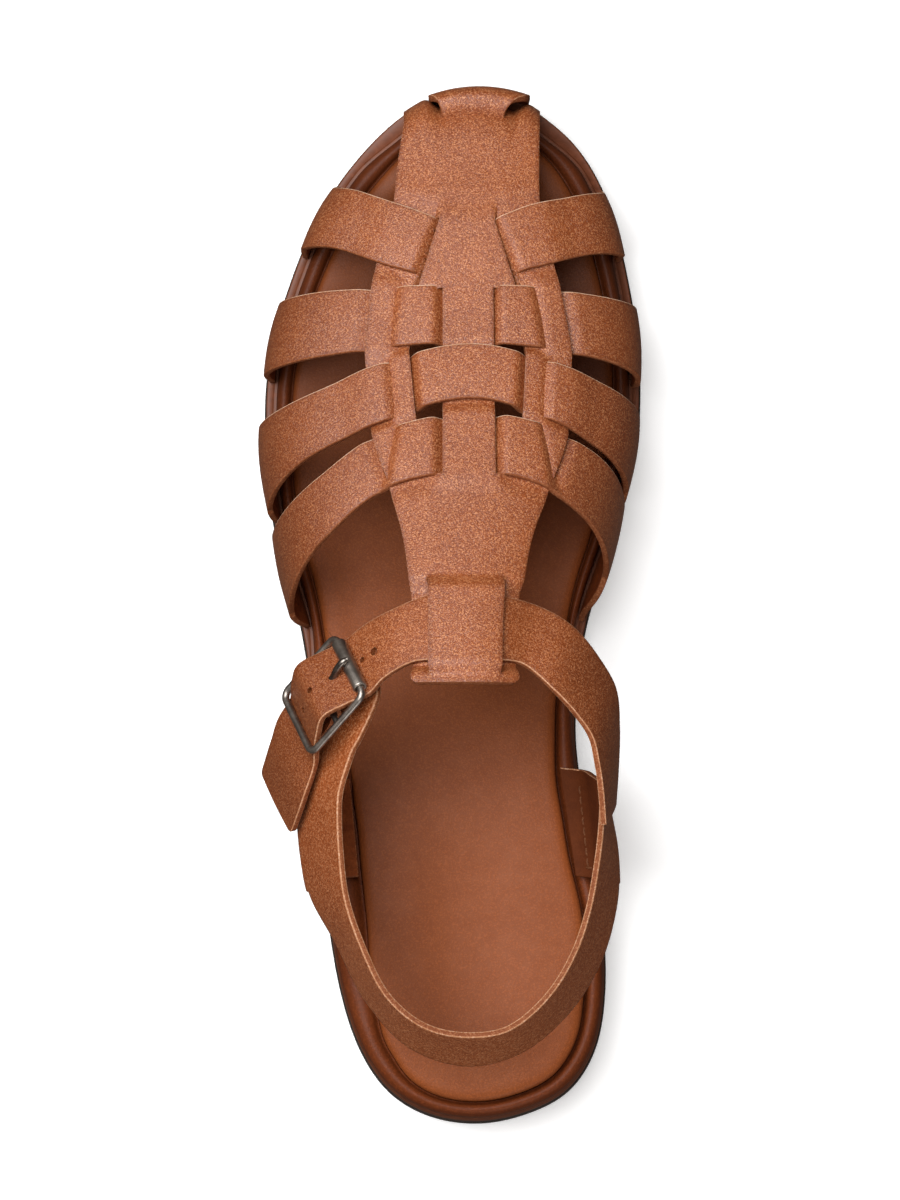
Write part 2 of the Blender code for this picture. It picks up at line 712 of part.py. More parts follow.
def heel_strap(material):
    """Heel band with its two ears and the end that carries the buckle, as one sheet."""
    front = []
    for row in BUCKLE_END:
        lower = at_buckle(row.along, row.across, BUCKLE_END_DEPTH)
        front.append(Station(row.ux, row.uy, row.uz, *lower))
    stations = front + HEEL_BAND
    columns = 4
    points, rows = band_points(stations, HEEL_STEPS, columns)
    quads = grid_quads(rows, columns)
    for span, table, turned in ((HEEL_LATERAL_EAR, LATERAL_EAR, False), (HEEL_MEDIAL_EAR, MEDIAL_EAR, True)):
        first = (span[0] + len(front)) * HEEL_STEPS
        last = (span[1] + len(front)) * HEEL_STEPS
        above = [row * columns + columns - 1 for row in range(first, last + 1)]
        for ear in table:
            below = []
            for number in range(len(above)):
                part = number / (len(above) - 1)
                if turned:
                    part = 1.0 - part
                below.append(len(points))
                points.append(Vector(ear[:3]).lerp(Vector(ear[3:]), part))
            for number in range(len(above) - 1):
                quads.append((above[number], below[number], below[number + 1], above[number + 1]))
            above = below
    return sheet_solid("heel_strap", points, quads, LEATHER, material)


def wire(name, path, radius, closed, material):
    """Round wire along a path of points."""
    curve = bpy.data.curves.new(name, "CURVE")
    curve.dimensions = "3D"
    curve.bevel_depth = radius * MM
    curve.bevel_resolution = 2
    curve.use_fill_caps = not closed
    spline = curve.splines.new("POLY")
    spline.points.add(len(path) - 1)
    spline.use_cyclic_u = closed
    for place, point in zip(spline.points, path):
        place.co = (*(point * MM), 1.0)
    return to_solid(add_object(name, curve), material)


def buckle_matrix(along, across, out):
    """Placement at a point of the buckle: local X along the strap and local Z across it."""
    placement = Matrix((BUCKLE_ALONG, BUCKLE_ACROSS.cross(BUCKLE_ALONG), BUCKLE_ACROSS)).transposed().to_4x4()
    placement.translation = at_buckle(along, across, out) * MM
    return placement


def primitive(name, shape, placement, material):
    mesh = bpy.data.meshes.new(name)
    shape.to_mesh(mesh)
    shape.free()
    mesh.materials.append(material)
    item = add_object(name, mesh)
    item.matrix_world = placement
    return item


def cylinder(name, radius, half_width, along, sides, material):
    """Cylinder across the buckle at a distance along the strap."""
    shape = bmesh.new()
    size = radius * MM
    bmesh.ops.create_cone(
        shape, cap_ends=True, segments=sides, radius1=size, radius2=size, depth=2 * half_width * MM)
    return primitive(name, shape, buckle_matrix(along, 0.0, 0.0), material)


def sleeve(name, outer, inner, half_width, along, sides, material):
    """Round sleeve across the buckle."""
    piece = cylinder(name, outer, half_width, along, sides, material)
    join(piece, cylinder("bore", inner, half_width + 1.0, along, sides, material), "DIFFERENCE")
    return piece


def box(name, size, placement, material):
    shape = bmesh.new()
    bmesh.ops.create_cube(shape, size=MM, matrix=Matrix.Diagonal((*size, 1.0)))
    return primitive(name, shape, placement, material)


def block(name, along, across, out, material):
    """Box in the axes of the buckle from three pairs of limits."""
    size = (along[1] - along[0], out[1] - out[0], across[1] - across[0])
    return box(name, size, buckle_matrix(sum(along) / 2, sum(across) / 2, sum(out) / 2), material)


def buckle_frame(material):
    path = []
    for quarter, (along, across) in enumerate(((-1, -1), (-1, 1), (1, 1), (1, -1))):
        for step in range(CORNER_STEPS + 1):
            angle = math.radians(270 - 90 * quarter - 90 * step / CORNER_STEPS)
            path.append(at_buckle(
                along * (BUCKLE_HALF_LENGTH - WIRE_CORNER) + WIRE_CORNER * math.cos(angle),
                across * (BUCKLE_HALF_WIDTH - WIRE_CORNER) + WIRE_CORNER * math.sin(angle),
                0.0))
    frame = wire("buckle_frame", path, WIRE_RADIUS, True, material)
    bar_path = [at_buckle(0.0, -BUCKLE_HALF_WIDTH, 0.0), at_buckle(0.0, BUCKLE_HALF_WIDTH, 0.0)]
    join(frame, wire("bar", bar_path, BAR_RADIUS, False, material), "UNION")
    return frame


def buckle_roller(material):
    """Sleeve that turns on the front bar of the frame."""
    half_width = BUCKLE_HALF_WIDTH - 2.6
    return sleeve(
        "buckle_roller", ROLLER_RADIUS, WIRE_RADIUS + 0.3, half_width, -BUCKLE_HALF_LENGTH, 14, material)


def pin_path():
    rows = [(-0.6, 1.7), (-4.0, 2.4), (-9.0, 2.9), (-12.4, 2.7), (-13.8, 2.0)]
    return [at_buckle(along, 0.0, out) for along, out in rows]


def buckle_pin(material):
    pin = sleeve("buckle_pin", 2.2, WIRE_RADIUS + 0.15, 1.2, 0.0, 12, material)
    join(pin, wire("shank", pin_path(), PIN_RADIUS, False, material), "UNION")
    return pin


def chape(material):
    """Leather loop round the middle bar, open in the middle for the pin."""
    piece = sleeve("chape", 2.7, WIRE_RADIUS + 0.15, 6.0, 0.0, 16, material)
    join(piece, block("foot", (-2.5, 2.5), (-5.9, 5.9), (-4.7, -1.5), material), "UNION")
    join(piece, block("gap", (-4.0, 4.0), (-1.6, 1.6), (-2.6, 4.0), material), "DIFFERENCE")
    return piece


def outsole(material):
    rings = [
        (SOLE_EDGE_ROUND, lambda y: bottom(y)),
        (0.0, lambda y: bottom(y) + SOLE_EDGE_ROUND),
        (0.0, lambda y: bottom(y) + OUTSOLE_THICKNESS - 0.4),
        (0.4, lambda y: bottom(y) + OUTSOLE_THICKNESS),
    ]
    piece = layered_solid("outsole", rings, material)
    places = [FOREFOOT_FIRST_GROOVE - GROOVE_PITCH * step for step in range(FOREFOOT_GROOVES)]
    places += [HEEL_FIRST_GROOVE - GROOVE_PITCH * step for step in range(HEEL_GROOVES)]
    for y in places:
        rise = (bottom(y + 1.0) - bottom(y - 1.0)) / 2
        placement = Matrix.Translation(Vector((0.0, y, bottom(y))) * MM)
        placement = placement @ Matrix.Rotation(math.atan(rise), 4, "X")
        groove = box("groove", (GROOVE_LENGTH, GROOVE_WIDTH, 2 * GROOVE_DEPTH), placement, material)
        join(piece, groove, "DIFFERENCE")
    return piece


def midsole(material):
    lift = OUTSOLE_THICKNESS + CLEARANCE

    def middle(y):
        return (bottom(y) + lift + ledge(y)) / 2

    def step_inset(side, y):
        return max(OUTSOLE_LIP + 0.5, inset_value(ROLL_INSET, side, y) - 1.0)

    rings = [
        (OUTSOLE_LIP + 0.5, lambda y: bottom(y) + lift),
        (OUTSOLE_LIP, lambda y: bottom(y) + lift + 0.6),
        (OUTSOLE_LIP, lambda y: ledge(y) - WELT_STEP),
        (step_inset, lambda y: ledge(y) - WELT_STEP + 0.1),
        (lambda side, y: step_inset(side, y) + 0.2, lambda y: ledge(y)),
    ]
    return layered_solid("midsole", rings, material)


def footbed(material):
    def roll(extra):
        return lambda side, y: inset_value(ROLL_INSET, side, y) + extra

    def inner(less):
        return lambda side, y: inset_value(PAD_INSET, side, y) - less

    def mid(part):
        return lambda side, y: roll(0.9)(side, y) * (1 - part) + inner(0.9)(side, y) * part

    rings = [
        (roll(0.5), lambda y: ledge(y) + CLEARANCE),
        (roll(0.0), lambda y: ledge(y) + 1.6),
        (roll(0.1), lambda y: ledge(y) + 3.6),
        (mid(0.0), lambda y: ledge(y) + ROLL_HEIGHT - 0.8),
        (mid(0.5), lambda y: ledge(y) + ROLL_HEIGHT),
        (inner(0.7), lambda y: ledge(y) + ROLL_HEIGHT - 0.5),
        (inner(0.3), lambda y: ledge(y) + ROLL_HEIGHT - SEAT_DEPTH),
    ]
    return layered_solid("footbed", rings, material)


def insole(material):
    def pad(extra):
        return lambda side, y: inset_value(PAD_INSET, side, y) + extra

    rings = [
        (pad(0.8), lambda y: ledge(y) + ROLL_HEIGHT - SEAT_DEPTH + CLEARANCE),
        (pad(0.05), lambda y: pad_top(y) - 1.7),
        (pad(0.6), lambda y: pad_top(y) - 0.6),
        (pad(2.0), lambda y: pad_top(y) - 0.1),
        (pad(6.0), lambda y: pad_top(y)),
        (pad(14.0), lambda y: pad_top(y) - 0.6),
    ]
    return layered_solid("insole", rings, material)


PARTS = bpy.data.collections.new("walking_sandal")
bpy.context.scene.collection.children.link(PARTS)

rubber = make_material("outsole_rubber", (0.030, 0.020, 0.016), 0.7)
wedge = make_material("midsole_leather", (0.150, 0.062, 0.034), 0.6)
wrap = make_material("footbed_leather", (0.205, 0.085, 0.045), 0.5)
sock = make_material("insole_leather", (0.250, 0.105, 0.055), 0.5)
tan = make_material("upper_leather", (0.360, 0.150, 0.078), 0.6)
ankle_tan = make_material("ankle_strap_leather", (0.365, 0.152, 0.080), 0.6)
heel_tan = make_material("heel_strap_leather", (0.355, 0.147, 0.076), 0.6)
chape_tan = make_material("chape_leather", (0.300, 0.125, 0.065), 0.6)
steel = make_material("buckle_steel", (0.100, 0.085, 0.075), 0.3, 1.0)
roller_steel = make_material("roller_steel", (0.110, 0.095, 0.085), 0.28, 1.0)
pin_steel = make_material("pin_steel", (0.105, 0.090, 0.080), 0.3, 1.0)

outsole(rubber)
midsole(wedge)
footbed(wrap)
insole(sock)

upper = spine(tan)
for number in (1, 2, 3, 4):
    join(upper, cross_strap(number, tan), "UNION")
join(upper, toe_loop(tan), "UNION")

strap = ankle_strap(ankle_tan)
join(strap, wire("pin_hole", pin_path()[:4], PIN_HOLE_RADIUS, False, ankle_tan), "DIFFERENCE")
heel_strap(heel_tan)
buckle_frame(steel)
buckle_roller(roller_steel)
buckle_pin(pin_steel)
chape(chape_tan)
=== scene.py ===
"""Looks of a left walking sandal: woven leather upper, layered sole and dark roller buckle.

Tables and sizes are in millimetres and the objects in metres.
+X is the medial side, +Y points to the toe, +Z is up and the floor is z = 0.
"""
import math
from collections import namedtuple

import bmesh
import bpy
import numpy as np
from mathutils import Matrix, Vector, geometry


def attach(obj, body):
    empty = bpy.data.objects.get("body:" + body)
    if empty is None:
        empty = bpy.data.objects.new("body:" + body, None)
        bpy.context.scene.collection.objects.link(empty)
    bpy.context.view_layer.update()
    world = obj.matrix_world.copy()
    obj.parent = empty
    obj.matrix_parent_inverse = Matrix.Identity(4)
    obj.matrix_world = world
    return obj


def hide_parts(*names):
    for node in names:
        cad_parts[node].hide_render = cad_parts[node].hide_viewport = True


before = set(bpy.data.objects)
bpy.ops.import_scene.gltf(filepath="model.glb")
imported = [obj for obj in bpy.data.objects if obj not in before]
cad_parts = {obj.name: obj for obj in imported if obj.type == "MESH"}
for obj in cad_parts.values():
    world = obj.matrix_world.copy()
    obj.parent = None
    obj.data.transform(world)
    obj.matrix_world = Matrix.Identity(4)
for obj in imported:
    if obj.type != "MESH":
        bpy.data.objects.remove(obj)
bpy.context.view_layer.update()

MM = 0.001

# Sizes of the sole
HALF_LENGTH = 140.0
CLEARANCE = 0.3
OUTSOLE_THICKNESS = 4.5
OUTSOLE_LIP = 0.45
GROOVE_DEPTH = 1.8
GROOVE_WIDTH = 2.6
GROOVE_PITCH = 10.0
FOREFOOT_GROOVES = 8
FOREFOOT_FIRST_GROOVE = 96.0
HEEL_GROOVES = 6
HEEL_FIRST_GROOVE = -76.0
LUG_ROUND = 0.3
LUG_ANGLE = 50.0
TOE_SPRING = 5.0
TOE_SPRING_START = 78.0
ARCH_RISE = 2.2
ARCH_HEEL_SLOPE = (-66.0, -30.0)
ARCH_BALL_SLOPE = (-22.0, 16.0)
LEDGE_FOREFOOT = 11.0
LEDGE_HEEL = 17.0
LEDGE_SLOPE = (-70.0, 40.0)
WELT_STEP = 0.8
WELT_THICKNESS = 1.5
WELT_LEAST_WIDTH = 0.3
WELT_FACE_INSET = 0.4
WELT_FACE_LEAST = 0.12
STEP_FROM_ROLL = 1.0
ROLL_HEIGHT = 6.0
ROLL_FOOT = 0.4
ROLL_STEPS = 14
ROLL_EVEN_SHARE = 0.14
ROLL_INNER_ANGLE = 150.0
ROLL_FULLNESS = 0.62
SEAT_DEPTH = 2.4
PAD_GAP = 0.15
PAD_ABOVE_ROLL_FOREFOOT = 0.8
PAD_ABOVE_ROLL_HEEL = 2.8
PAD_SLOPE = (-60.0, 30.0)
PAD_FOOT_INSET = 0.7
PAD_LEAST_HEIGHT = 0.2
PAD_RINGS = 12
PAD_RING_SPAN = (0.08, 0.97)
PAD_DRAW_IN = 0.12
SOLE_STATIONS = 170

# Edges of the sole's layers: inset of each ring, and its height over the level that it is set from
EdgeRing = namedtuple("EdgeRing", "inset height")
OUTSOLE_LOWER_EDGE = [EdgeRing(1.3, 0.0), EdgeRing(0.45, 0.25), EdgeRing(0.0, 1.1)]
OUTSOLE_UPPER_EDGE = [EdgeRing(0.0, -0.9), EdgeRing(0.12, -0.35), EdgeRing(0.5, 0.0)]
MIDSOLE_LOWER_EDGE = [EdgeRing(0.6, 0.0), EdgeRing(0.05, 0.5), EdgeRing(0.0, 1.0)]
MIDSOLE_TOP = [EdgeRing(1.0, 0.05)]
WELT_SEAM = [EdgeRing(0.0, -0.35), EdgeRing(0.28, -0.12), EdgeRing(0.28, 0.12), EdgeRing(0.0, 0.35)]
WELT_EDGE = [EdgeRing(0.0, -0.35), EdgeRing(0.12, -0.1)]
STEP_FOOT = [EdgeRing(-0.1, 0.02), EdgeRing(-0.02, 0.25)]
STEP_EDGE = [EdgeRing(0.1, -0.2), EdgeRing(0.35, 0.0)]
ROLL_BASE = [EdgeRing(0.5, 0.0)]
ROLL_SEAT = [EdgeRing(0.2, -0.4), EdgeRing(2.0, -0.4)]
PAD_EDGE = [
    EdgeRing(0.12, -2.6),
    EdgeRing(0.0, -1.9),
    EdgeRing(0.14, -1.25),
    EdgeRing(0.55, -0.68),
    EdgeRing(1.2, -0.3),
    EdgeRing(2.2, -0.08),
    EdgeRing(3.6, 0.0),
    EdgeRing(5.6, -0.03),
]

# Shallow hollows that a foot leaves in the insole under the heel and the ball
Hollow = namedtuple("Hollow", "x y half_width half_length depth")
HOLLOWS = [
    Hollow(5.0, -92.0, 19.0, 34.0, 1.3),
    Hollow(2.0, 50.0, 27.0, 42.0, 0.7),
]
HOLLOW_MARGIN = 18.0

# Sizes of the leather
LEATHER = 2.0
SPINE_LEATHER = 1.8
STRAP_LEATHER = 1.7
CHAPE_LEATHER = 1.1
EDGE_ROUND = 0.35
EDGE_ANGLE = 55.0
REAR_FACING = 0.15
STRAP_CROWN = 0.35
STRAP_BASE_INSET = 1.7
STRAP_WALL_POINTS = 34
STRAP_TOP_POINTS = 230
STRAP_COLUMNS = 23
TOE_CAP_INSET = 0.9
TOE_CAP_FROM = 60.0
TOE_CAP_TAPER = 2.4
TOE_CAP_TAPER_LENGTH = 20.0
TOE_HOLLOW = 4.2
TOE_HOLLOW_X = 7.2
TOE_HOLLOW_EDGE = (9.5, 14.5)
FULLNESS = 2.2
SPINE_WEAVE = 0.6
STRAP_WEAVE = 1.35
WEAVE_LEAD = 6.0
WEAVE_LEAST_HALF = 1.2
CENTRE_STRIP_SLOPE = (6.8, 12.0)
TONGUE_LIFT = 1.95
SLIT_WIDTH = 0.25
PLAN_SPACING = 0.8
PLAN_ROW_SHARE = 0.87
PLAN_MARGIN_SHARE = 0.6
# How far outside and inside the spine's edge a strap rises over it or dips under it
SLOPE_OVER = (8.6, 1.6)
SLOPE_UNDER = (4.2, 1.0)

# Points inside the shoe that the grain side of the leather faces away from
SHOE_MIDDLE_X = 4.0
STRAP_INSIDE_Z = 10.0
TOE_INSIDE = (7.0, 110.0, 10.0)
ANKLE_INSIDE = (4.0, -40.0, 45.0)
HEEL_INSIDE = (4.0, -75.0, 50.0)

# Places of a leather sheet's finishes after its grain side, which is 0
FLESH_FACE = 1
CUT_FACE = 2
CORNER_FACE = 3

# Sizes of the buckle
WIRE_RADIUS = 1.02
WIRE_CORNER = 2.4
WIRE_CORNER_STEPS = 10
WIRE_ROUNDNESS = 6
BAR_RADIUS = 0.8
ROLLER_RADIUS = 1.95
ROLLER_HALF_WIDTH = 8.6
ROLLER_GAP = 0.15
PIN_RADIUS = 1.0
PIN_POINTS = 30
PIN_TAPER = 0.35
PIN_TAPER_FROM = 0.75
PIN_EYE_HALF_WIDTH = 1.2
TURNED_SIDES = 48
BUCKLE_HALF_LENGTH = 11.7
BUCKLE_HALF_WIDTH = 11.2
STRAP_HALF_WIDTH = 9.9

# Plan of the outsole: y, then the x of the lateral and of the medial edge
Edge = namedtuple("Edge", "y lateral medial")
OUTLINE = [
    Edge(140.0, 6.5, 6.5),
    Edge(133.0, -12.8, 24.9),
    Edge(124.2, -22.5, 34.6),
    Edge(113.0, -31.3, 41.4),
    Edge(92.5, -41.6, 47.5),
    Edge(59.0, -49.9, 51.6),
    Edge(46.0, -50.1, 51.0),
    Edge(23.0, -48.0, 46.0),
    Edge(-6.0, -40.4, 36.9),
    Edge(-33.0, -36.7, 34.0),
    Edge(-60.0, -35.2, 37.3),
    Edge(-90.0, -32.3, 41.8),
    Edge(-105.0, -29.5, 42.0),
    Edge(-119.7, -24.6, 39.4),
    Edge(-132.0, -16.0, 31.2),
    Edge(-138.8, -3.0, 16.1),
    Edge(-140.0, 6.6, 6.6),
]

# How far inside the outsole edge the insole pad ends
PAD_INSET = [
    Edge(140.0, 9.0, 9.0),
    Edge(60.0, 7.6, 7.6),
    Edge(10.0, 6.6, 6.2),
    Edge(-10.0, 5.9, 5.3),
    Edge(-33.0, 7.5, 5.6),
    Edge(-50.0, 9.4, 6.8),
    Edge(-65.0, 10.2, 6.6),
    Edge(-85.0, 10.4, 5.6),
    Edge(-105.0, 9.0, 5.8),
    Edge(-125.0, 6.5, 5.4),
    Edge(-140.0, 4.8, 4.8),
]

# How far inside the outsole edge the roll of the footbed starts
ROLL_INSET = [
    Edge(140.0, 5.3, 5.3),
    Edge(131.0, 5.0, 5.0),
    Edge(118.0, 3.3, 3.3),
    Edge(20.0, 3.1, 3.1),
    Edge(-6.0, 3.0, 3.0),
    Edge(-20.0, 1.8, 1.8),
    Edge(-35.0, 0.9, 0.9),
    Edge(-140.0, 0.7, 0.7),
]

# Sections of the last: outer walls, ridge position and height, height of the widest point
Section = namedtuple("Section", "y lateral medial ridge_x ridge_z wall_z")
LAST = [
    Section(124.0, -22.5, 34.6, 5.6, 34.0, 20.0),
    Section(112.0, -31.9, 41.5, 5.4, 40.5, 24.0),
    Section(95.0, -40.8, 47.2, 5.0, 46.0, 26.0),
    Section(80.0, -46.6, 50.6, 4.8, 50.0, 27.0),
    Section(61.0, -50.7, 51.9, 4.8, 55.5, 28.0),
    Section(45.0, -52.0, 51.3, 5.0, 61.0, 28.0),
    Section(25.0, -49.8, 47.5, 5.0, 68.5, 28.0),
    Section(8.0, -46.6, 43.4, 4.6, 75.5, 28.0),
    Section(-8.0, -43.0, 39.0, 4.1, 82.0, 28.0),
    Section(-27.0, -42.0, 40.0, 4.1, 89.5, 28.0),
]

# Cross straps: position round the last (2 = foot of the wall, 1 = widest point, 0 = ridge),
# then the y of the front and rear edges of straps 1 to 4
StrapRow = namedtuple("StrapRow", "place front1 rear1 front2 rear2 front3 rear3 front4 rear4")
STRAPS = [
    StrapRow(-2.0, 113.1, 93.9, 81.6, 60.1, 46.4, 21.5, 18.7, -6.5),
    StrapRow(-1.25, 112.3, 94.7, 80.4, 60.5, 46.4, 22.8, 16.8, -5.2),
    StrapRow(-1.0, 111.8, 95.1, 80.4, 60.9, 46.8, 24.3, 17.0, -3.6),
    StrapRow(-0.5, 109.4, 93.6, 82.6, 64.5, 55.0, 38.2, 31.4, 15.0),
    StrapRow(-0.25, 105.0, 88.4, 83.0, 66.3, 61.8, 45.5, 42.8, 27.0),
    StrapRow(0.0, 100.6, 84.8, 83.4, 67.3, 67.0, 51.9, 47.7, 31.5),
    StrapRow(0.25, 105.4, 88.4, 83.0, 66.3, 63.2, 47.4, 45.2, 28.8),
    StrapRow(0.5, 108.4, 92.2, 81.6, 64.3, 58.2, 40.9, 38.9, 21.6),
    StrapRow(1.0, 110.6, 93.2, 79.1, 59.6, 49.5, 29.2, 24.9, 6.1),
    StrapRow(2.0, 111.9, 93.0, 79.5, 58.9, 49.8, 26.9, 25.1, -4.7),
]

# Places where a strap changes between over and under the spine, from lateral to medial:
# x at the strap's front and rear edge, and half the width over which it changes.
# Each row starts with the strap's level at the lateral edge of the spine, 1 over it and -1 under it
Change = namedtuple("Change", "front_x rear_x half_width")
WEAVE = {
    1: (1, [
        Change(-3.6, -9.4, 1.6),
        Change(12.5, 18.5, 1.6),
    ]),
    2: (-1, [
        Change(-14.1, -15.9, 2.6),
        Change(-3.4, -3.4, 1.7),
        Change(12.9, 12.9, 1.7),
        Change(22.6, 25.8, 2.6),
    ]),
    3: (1, [
        Change(-16.2, -14.8, 2.6),
        Change(-9.4, -7.8, 1.7),
        Change(19.2, 18.2, 1.7),
        Change(25.9, 25.0, 2.6),
    ]),
    4: (-1, [
        Change(-14.4, -17.0, 2.6),
        Change(-3.4, -3.4, 1.7),
        Change(13.7, 13.7, 1.7),
        Change(24.6, 27.8, 2.6),
    ]),
}

# Levels of the spine's strips at straps 2 to 4: outer and inner part of a side band, and the centre strip
StripLevels = namedtuple("StripLevels", "outer inner centre")
SPINE_LEVELS = [StripLevels(1, -1, 1), StripLevels(-1, 1, -1), StripLevels(1, -1, 1)]

# Plan of the spine: y, then the x of its lateral and medial edges
SPINE = [
    Edge(122.0, -13.8, 23.9),
    Edge(107.6, -15.0, 24.1),
    Edge(88.2, -20.1, 28.3),
    Edge(77.7, -21.6, 30.3),
    Edge(60.6, -22.7, 32.7),
    Edge(42.9, -20.9, 31.4),
    Edge(29.5, -16.9, 27.4),
    Edge(13.3, -12.4, 21.7),
    Edge(1.7, -10.9, 19.6),
    Edge(-8.0, -10.5, 18.6),
    Edge(-27.0, -10.3, 18.2),
]
SPINE_END = -26.5
SPINE_END_ROUND = 1.8
SPINE_END_STEPS = 8
SPINE_CAP_START = 112.0
SPINE_CAP_SPAN = 40.0
CAP_REACH = 0.8
CAP_BELLY = 0.78
CAP_LEAN_STEP = 3.0
SLOT_PLACES = (0.169, 0.829)
SLOT_FRONT = 2.0
SLOT_REAR = -24.5
SLOT_POINTS = 5
TONGUE_REAR_SLOPE = (SLOT_REAR, -21.2)
TONGUE_FRONT_SLOPE = (-1.3, 3.5)

# Corners of the cut-outs beside the centre strip: from the slit's front end round to the slit again
Corner = namedtuple("Corner", "x y")
LATERAL_WINDOW = [
    Corner(-3.05, 101.9),
    Corner(-8.85, 83.0),
    Corner(-10.9, 65.2),
    Corner(-9.1, 46.6),
    Corner(-7.6, 34.0),
    Corner(-6.0, 31.2),
    Corner(-1.9, 31.2),
    Corner(-1.9, 82.7),
    Corner(-8.5, 82.7),
    Corner(-2.75, 101.9),
]
MEDIAL_WINDOW = [
    Corner(12.05, 101.9),
    Corner(18.05, 83.0),
    Corner(20.3, 65.2),
    Corner(19.4, 46.6),
    Corner(17.9, 34.0),
    Corner(16.3, 31.2),
    Corner(12.2, 31.2),
    Corner(11.6, 82.7),
    Corner(17.7, 82.7),
    Corner(11.75, 101.9),
]
# Lines in the side bands, front to rear, where straps 2 to 4 come up or go down
LATERAL_LINE = [
    Corner(-13.9, 86.0),
    Corner(-15.9, 65.4),
    Corner(-16.2, 63.0),
    Corner(-14.8, 46.4),
    Corner(-14.4, 44.8),
    Corner(-17.0, 25.6),
]
MEDIAL_LINE = [
    Corner(22.4, 86.0),
    Corner(25.8, 65.4),
    Corner(25.9, 63.0),
    Corner(25.0, 46.4),
    Corner(24.6, 44.8),
    Corner(27.8, 25.6),
]
LINE_HALF_WIDTH = 2.4

# Toe loop: y, height, middle and half width of the strip that arches over the toe
LoopRow = namedtuple("LoopRow", "y z x half_width")
TOE_LOOP = [
    LoopRow(127.0, 31.0, 6.0, 8.5),
    LoopRow(131.0, 31.5, 6.0, 8.7),
    LoopRow(134.0, 33.2, 6.4, 9.0),
    LoopRow(136.3, 33.3, 7.0, 10.5),
    LoopRow(137.7, 31.6, 7.6, 12.3),
    LoopRow(138.3, 28.8, 7.8, 13.3),
    LoopRow(138.5, 23.0, 7.9, 13.5),
    LoopRow(138.3, 15.0, 7.9, 13.5),
]
# Across the loop its points go back and down with the square of their distance from its middle
LOOP_BACK = 76.0
LOOP_DOWN = 250.0
LOOP_ROWS = 60
LOOP_COLUMNS = 31

# A band is given by its upper and lower edge at each station
Station = namedtuple("Station", "ux uy uz lx ly lz")
ANKLE_TAIL = [
    Station(-42.3, -64.8, 54.0, -50.3, -47.6, 43.0),
    Station(-38.9, -55.7, 63.0, -47.6, -39.4, 51.5),
    Station(-35.9, -46.4, 67.6, -45.0, -32.5, 56.9),
]
ANKLE_LATERAL = [
    Station(-18.0, -25.4, 83.0, -23.6, -10.6, 72.0),
]
# Points where the strap lies on the last: x and y of the upper edge, x and y of the lower edge
Crossing = namedtuple("Crossing", "ux uy lx ly")
ANKLE_TONGUE = [
    Crossing(-10.6, -21.0, -15.0, -6.0),
    Crossing(-5.6, -20.2, -5.8, -2.4),
    Crossing(4.0, -20.0, 4.0, -2.3),
    Crossing(13.2, -20.2, 13.6, -2.6),
    Crossing(19.6, -21.2, 23.0, -4.8),
]
ANKLE_MEDIAL = [
    Station(28.0, -28.4, 82.4, 32.6, -10.2, 72.2),
    Station(33.8, -34.6, 80.0, 39.8, -18.6, 68.0),
    Station(37.6, -40.0, 78.0, 44.0, -26.0, 64.2),
    Station(39.5, -47.5, 76.0, 45.0, -36.5, 60.2),
    Station(40.6, -55.5, 74.4, 44.6, -48.6, 56.4),
    Station(41.2, -63.6, 72.6, 44.0, -57.0, 54.6),
]
HEEL_BAND = [
    Station(-26.8, -46.4, 73.0, -38.8, -45.4, 55.0),
    Station(-29.3, -55.0, 72.4, -40.3, -53.5, 52.5),
    Station(-29.6, -62.5, 72.0, -40.2, -62.0, 51.0),
    Station(-29.2, -71.0, 72.0, -39.3, -71.0, 49.5),
    Station(-28.0, -81.8, 72.0, -37.5, -80.0, 48.0),
    Station(-23.3, -96.5, 73.0, -30.4, -93.4, 48.0),
    Station(-16.3, -110.0, 74.0, -22.0, -109.6, 48.5),
    Station(-6.4, -117.9, 75.0, -9.8, -122.2, 49.0),
    Station(4.2, -120.2, 75.0, 5.0, -126.6, 49.0),
    Station(14.8, -118.8, 75.0, 18.2, -123.4, 49.0),
    Station(24.7, -111.2, 74.0, 30.0, -114.2, 48.5),
    Station(33.2, -98.0, 73.0, 39.6, -100.0, 48.0),
    Station(37.3, -85.5, 72.0, 43.6, -87.6, 47.5),
    Station(39.3, -74.5, 71.4, 44.9, -77.7, 47.0),
    Station(40.3, -66.8, 68.0, 44.5, -68.5, 47.6),
    Station(40.9, -59.0, 63.5, 43.0, -60.0, 48.8),
    Station(41.0, -51.2, 61.0, 41.0, -50.8, 50.6),
]
# The end that carries the buckle: its upper edge, and its lower edge in the axes of the buckle
EndRow = namedtuple("EndRow", "ux uy uz along across")
BUCKLE_END = [
    EndRow(-20.6, -24.4, 76.6, -11.5, 0.0),
    EndRow(-19.0, -28.4, 77.0, -9.5, -7.0),
    EndRow(-20.4, -33.0, 76.6, -5.0, -9.0),
    EndRow(-23.2, -39.0, 75.0, 1.5, -9.2),
]
BUCKLE_END_DEPTH = -5.8

# Layout of the bands, and the stations of the heel band that carry the ears
BAND_SPACING = 0.55
BAND_COLUMNS = 23
TAIL_ROUND = 1.6
HEEL_LATERAL_EAR = (1, 4)
HEEL_MEDIAL_EAR = (13, 16)
END_STEPS = 6
HEEL_STEPS = 14
HEEL_COLUMNS = 16
EAR_ROWS = 44

# Ears: below their top height the corners get no painted highlight, apart from the front corner of the medial
# one.
# The medial one's inner face gets painted shade, darker from the higher to the lower level, in full past an x
EAR_TOP = 47.0
EAR_FRONT_FACING = 0.3
EAR_SHADE_BELOW = (36.0, 66.0)
EAR_SHADE_PAST = 25.0
EAR_SHADE_SHARE = 0.8

